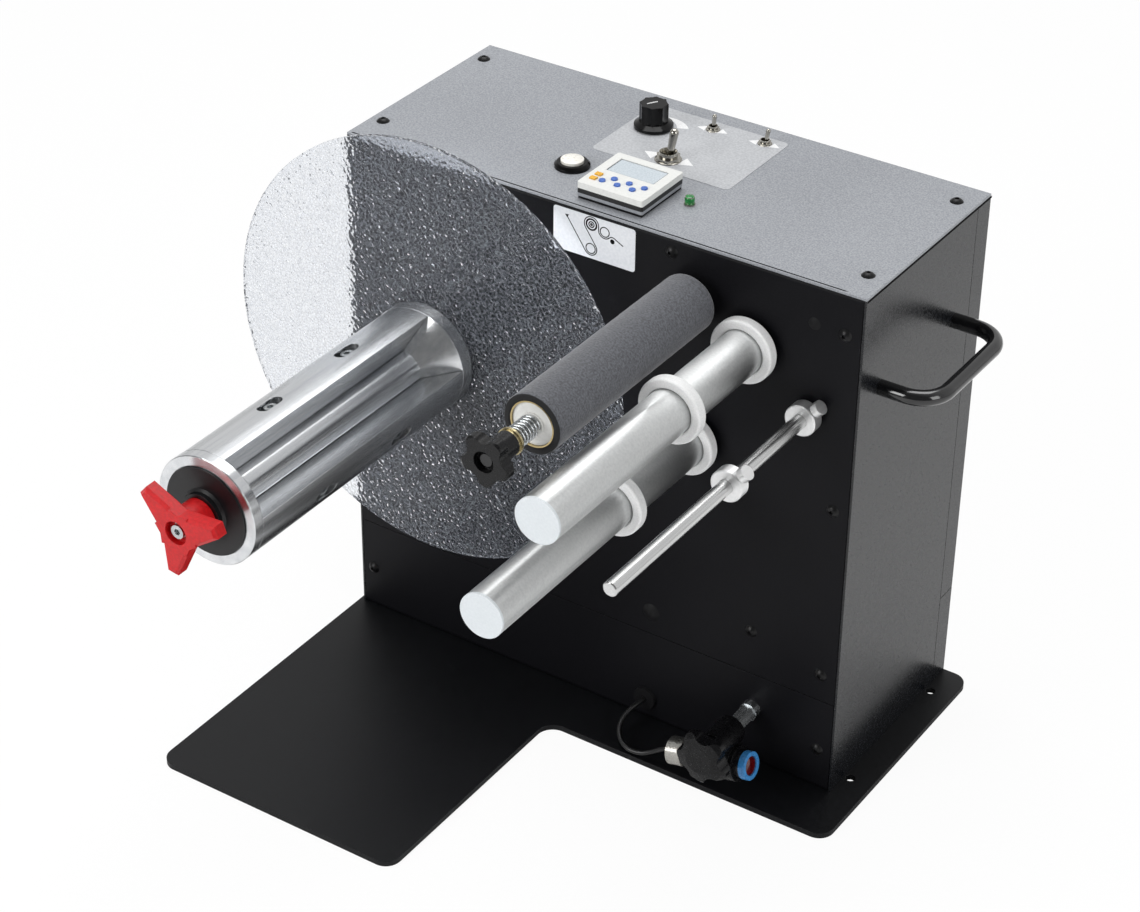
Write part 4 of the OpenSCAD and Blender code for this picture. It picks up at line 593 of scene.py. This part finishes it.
# Liquid-crystal glass: pale blue-grey and glossy, in a recess whose shade is painted as a thin grey
# line round it
crystal = grained("liquid_crystal_glass", "#b4bfc7", "#cbd4da", 1.1, 0.01, 0.05, 0.1, cloud=30,
                  Coat_Weight=0.5, Coat_Roughness=0.02)
window_recess_shade = grained("window_shadow_line", "#4c535a", "#626970", 1.0, 0.01, 0.3, 0.4)
# The window's two corners as shares of the case's width, its play in millimetres, and its floor
low, high = (0.13, 0.49), (0.86, 0.87)
PLAY, WINDOW_Z = 0.15, COUNTER_TOP - 0.5
x0, x1 = COUNTER_X + COUNTER_W * low[0] + PLAY, COUNTER_X + COUNTER_W * high[0] - PLAY
y0, y1 = COUNTER_Y + COUNTER_W * low[1] + PLAY, COUNTER_Y + COUNTER_W * high[1] - PLAY
recess_shade_outline = [(x, y, WINDOW_Z) for x, y in rounded(x0, x1, y0, y1, 0.6)]
sheet_of("counter_window_recess_shade", recess_shade_outline, 0.0, 0.12, window_recess_shade, "cabinet")
# The glass leaves the recess's painted shade broader along the left and the far edge
glass = [(x, y, WINDOW_Z) for x, y in rounded(x0 + 0.7, x1 - 0.3, y0 + 0.3, y1 - 0.7, 0.5)]
sheet_of("counter_window", glass, 0.12, 0.3, crystal, "cabinet")

# Control overlay: a printed polyester film, 0.3 mm thick with round corners, glued to the
# cover round the knob and the switches, with white arrows.

# Heights over the cover in millimetres: the film's top, and the top of the ink on it
FILM_TOP, INK_TOP = 0.3, 0.34
# Printed polyester: light grey with a satin sheen
film = grained("printed_polyester_film", "#a4a6aa", "#bfc1c4", 1.4, 0.03, 0.34, 0.46, cloud=60)
overlay = [(x, y, COVER_Z) for x, y in rounded(68.5, 170.9, 70.5, 148, 4)]
sheet_of("control_overlay", overlay, 0.02, FILM_TOP, film, "cabinet")


def arrow(x, y, width, height, angle):
    """A triangle that points at an angle in degrees, its base at a place."""
    turn = Matrix.Rotation(math.radians(angle), 3, "Z")
    corners = ((0, -width / 2), (height, 0), (0, width / 2))
    return [turn @ Vector((u, v, 0)) + Vector((x, y, COVER_Z)) for u, v in corners]


for name, *mark in (("direction_mark_left", 108.5, 85.3, 11, 9.5, 172),
                    ("direction_mark_right", 126.5, 87.5, 11, 9.5, -8),
                    ("left_switch_mark_left", 114.6, 136.5, 7, 6, 190),
                    ("left_switch_mark_right", 124.2, 138, 7, 6, -5),
                    ("right_switch_mark_left", 152.4, 138, 7, 6, 190),
                    ("right_switch_mark_right", 162.2, 139.5, 7, 6, -5)):
    sheet_of(name, arrow(*mark), FILM_TOP, INK_TOP, white_ink, "cabinet")
# The wedge round the speed knob widens towards full speed. In millimetres: its inner radius, the
# outer one at its tip and its growth from there; in degrees: its two ends and its steps
WEDGE_IN, WEDGE_OUT, WEDGE_GROWTH = 15.2, 15.4, 7.5
FULL_SPEED, TIP, STEP = 27, 112, 5
spans = (TIP - FULL_SPEED) // STEP
inner = [(WEDGE_IN, TIP - STEP * k) for k in range(spans + 1)]
outer = [(WEDGE_OUT + WEDGE_GROWTH * (1 - k / spans), FULL_SPEED + STEP * k) for k in range(spans + 1)]
wedge = [(KNOB_X + r * math.cos(math.radians(a)), KNOB_Y + r * math.sin(math.radians(a)), COVER_Z)
         for r, a in inner + outer]
sheet_of("speed_wedge", wedge, FILM_TOP, INK_TOP, white_ink, "cabinet")

# Threading label on the front: white vinyl film with round corners, and the web's path printed
# on it in black as a line round four rollers.

# Heights before the panel in millimetres: the film's face and the ink on it, and the rollers'
# places across and up
LABEL_FACE, LABEL_INK = 0.25, 0.28
ROLL, SECOND, LOWER, BAR = (115.6, 366.6), (125.4, 364.2), (115.2, 349.7), (131.1, 359.3)
# Vinyl film: cool white with a soft sheen
vinyl = grained("white_vinyl_film", "#d9dce1", "#e6e8ec", 2, 0.02, 0.3, 0.42, cloud=30)
# Screen-printed black ink: matt
black_ink = grained("black_screen_ink", "#020203", "#0a0a0b", 0.8, 0.01, 0.4, 0.5, Specular_IOR_Level=0.1)
label = [(x, 0, z) for x, z in rounded(87.4, 147.8, 342.8, 372.4, 2)]
sheet_of("threading_label", label, 0.02, LABEL_FACE, vinyl, "cabinet", up=(0, -1, 0))


def web_line(stops, step=12):
    """The line of a web over rollers: (place, radius, turning 1 left or -1 right) for each."""
    stops = [(Vector(c), r * s, s) for c, r, s in stops]
    angles = []
    for (c, r, _), (d, q, _) in zip(stops, stops[1:]):
        gap = d - c
        angles.append(math.atan2(gap.y, gap.x) - math.asin((q - r) / gap.length))
    line = [stops[0][0]]
    for k, (centre, r, s) in enumerate(stops[1:-1]):
        start, end = angles[k], angles[k + 1]
        while s * (end - start) < 0:
            end += s * 2 * math.pi
        count = max(2, int(abs(end - start) / math.radians(step)))
        for n in range(count + 1):
            a = start + (end - start) * n / count
            line.append(centre - Vector((-math.sin(a), math.cos(a))) * r)
    return line + [stops[-1][0]]


def stroke(name, line, width):
    """A printed line of this width on the label."""
    left, right = [], []
    for k, point in enumerate(line):
        along = line[min(k + 1, len(line) - 1)] - line[max(k - 1, 0)]
        side = Vector((-along.y, along.x)).normalized() * width / 2
        left.append(point + side)
        right.append(point - side)
    count = len(line)
    points = [(p.x, -h, p.y) for h in (LABEL_FACE, LABEL_INK) for p in left + right]
    faces = []
    for k in range(count - 1):
        for base in (0, 2 * count):
            faces.append((base + k, base + k + 1, base + count + k + 1, base + count + k))
        faces.append((k, k + 1, 2 * count + k + 1, 2 * count + k))
        faces.append((count + k, count + k + 1, 3 * count + k + 1, 3 * count + k))
    piece(name, points, faces, black_ink, "cabinet", smooth=False)


def ring(centre, radius):
    """A closed circle of points, nine degrees apart."""
    return [Vector(centre) + Vector((math.cos(a * math.pi / 20), math.sin(a * math.pi / 20))) * radius
            for a in range(41)]


# The web runs in at the left and out at the right, round each roller at its own distance
web = [((97.3, 367.6), 0, 1), (LOWER, 4.6, 1), (ROLL, 5.3, -1), (SECOND, 4.5, 1), (BAR, 2.9, -1),
       ((139, 358.4), 0, 1)]
stroke("label_web_line", web_line(web), 0.7)
for name, centre, radius, width in (("label_roll", ROLL, 3.7, 1.2), ("label_roll_core", ROLL, 1.9, 0.8),
                                    ("label_roll_bore", ROLL, 0.6, 0.9), ("label_roller", SECOND, 3.3, 0.7),
                                    ("label_low_roller", LOWER, 3.4, 0.7), ("label_bar", BAR, 0.85, 1.6)):
    stroke(name, ring(centre, radius), width)
web_arrow = [(95.9, 0, 368.3), (98.9, 0, 368.6), (97.6, 0, 366.2)]
sheet_of("label_web_arrow", web_arrow, LABEL_FACE, LABEL_INK, black_ink, "cabinet",
         up=(0, -1, 0))

# Studio: a white floor that keeps a faint shadow, a white room behind, and soft lamps above,
# in front and at the right. All levels were set against the photograph.
FLOOR, FLOOR_Z = 6000, -0.5
# White paper: matt, it mirrors nothing
paper = grained("white_paper_floor", "#f6f6f6", "#fbfbfb", 3, 0.05, 0.85, 0.95, Specular_IOR_Level=0.0)
corners = [(x, y, FLOOR_Z) for x, y in ((-FLOOR, -FLOOR), (FLOOR, -FLOOR), (FLOOR, FLOOR), (-FLOOR, FLOOR))]
floor = piece("studio_floor", corners, [(0, 1, 2, 3)], paper, None, smooth=False)
# To the camera, and through the disc, the floor is mostly plain white; what is left is the lit
# paper with its shadow
PLAIN_WHITE = 0.93
tree = floor.data.materials[0].node_tree
shader = tree.nodes["Principled BSDF"]
path = add(tree, "LightPath")
seen = add(tree, "Math", {0: path.outputs["Is Camera Ray"], 1: path.outputs["Is Transmission Ray"]},
           operation="MAXIMUM").outputs[0]
share = add(tree, "Math", {0: seen, 1: PLAIN_WHITE}, operation="MULTIPLY").outputs[0]
glow = add(tree, "Emission", {"Strength": 1.0}).outputs[0]
bright = add(tree, "MixShader", {0: share, 1: shader.outputs[0], 2: glow})
tree.links.new(bright.outputs[0], tree.nodes["Material Output"].inputs["Surface"])

# The room is plain white to the camera. What mirrors it sees a darker front than back, and all
# other light from it is even.
FRONT_LEVEL, BACK_LEVEL, EVEN_LEVEL = 0.2, 0.8, 0.4
room = bpy.data.worlds.new("white_room")
bpy.context.scene.world = room
room.use_nodes = True
tree = room.node_tree
tree.nodes.clear()
path = add(tree, "LightPath")
toward = add(tree, "SeparateXYZ", {0: add(tree, "TexCoord").outputs["Generated"]})
behind = add(tree, "MapRange", {"Value": toward.outputs[1], "From Min": -0.5, "From Max": 0.3,
                                "To Min": FRONT_LEVEL, "To Max": BACK_LEVEL}).outputs[0]
mirror = add(tree, "Mix", {0: path.outputs["Is Glossy Ray"], 2: EVEN_LEVEL, 3: behind},
             data_type="FLOAT").outputs[0]
clear = add(tree, "Math", {0: path.outputs["Is Camera Ray"], 1: path.outputs["Is Transmission Ray"]},
            operation="MAXIMUM").outputs[0]
level = add(tree, "Mix", {0: clear, 2: mirror, 3: 1.0}, data_type="FLOAT").outputs[0]
white = add(tree, "Background", {"Color": (1, 1, 1, 1), "Strength": level})
add(tree, "OutputWorld", {"Surface": white.outputs[0]})


def softbox(name, place, target, width, height, power):
    """A rectangular lamp aimed at a point, in metres and watts."""
    light = bpy.data.lights.new(name, "AREA")
    light.shape = "RECTANGLE"
    light.size, light.size_y, light.energy = width, height, power
    lamp = bpy.data.objects.new(name, light)
    bpy.context.collection.objects.link(lamp)
    lamp.location = place
    lamp.rotation_euler = (Vector(target) - Vector(place)).to_track_quat("-Z", "Y").to_euler()


softbox("softbox_above", (-0.2, 0.5, 2.2), (0.1, 0, 0.2), 1.6, 1.2, 26)
softbox("softbox_front", (-0.9, -2.2, 1.3), (0.05, 0, 0.2), 1.2, 1.2, 34)
softbox("softbox_right", (2.2, -0.5, 1.0), (0.2, 0, 0.2), 0.8, 1.4, 14)

# The photograph's viewpoint: a long lens, 33 degrees to the right of the front and 33 degrees
# above it, solved from the cabinet's edges.

# The focal length and the photograph's width in its pixels, and the camera's film in millimetres
FOCAL_PIXELS, PHOTO_WIDTH, FILM_WIDTH = 2869.15, 1140, 36
STANDPOINT = (0.96395, -1.31346, 1.21330)
AZIMUTH, ELEVATION, ROLL_ANGLE = math.radians(33.2906), math.radians(33.0557), math.radians(0.6396)
away = Vector((math.sin(AZIMUTH) * math.cos(ELEVATION), -math.cos(AZIMUTH) * math.cos(ELEVATION),
               math.sin(ELEVATION)))
right = Vector((math.cos(AZIMUTH), math.sin(AZIMUTH), 0))
up = away.cross(right)
level_right = right * math.cos(ROLL_ANGLE) + up * math.sin(ROLL_ANGLE)
level_up = up * math.cos(ROLL_ANGLE) - right * math.sin(ROLL_ANGLE)
lens_data = bpy.data.cameras.new("photograph_camera")
lens_data.sensor_width, lens_data.lens = FILM_WIDTH, FOCAL_PIXELS / PHOTO_WIDTH * FILM_WIDTH
lens_data.clip_start, lens_data.clip_end = 0.05, 30
camera = bpy.data.objects.new("photograph_camera", lens_data)
bpy.context.collection.objects.link(camera)
camera.matrix_world = Matrix.Translation(STANDPOINT) @ Matrix(
    (level_right, level_up, away)).transposed().to_4x4()
bpy.context.scene.camera = camera
bpy.context.scene.view_settings.view_transform = "Standard"
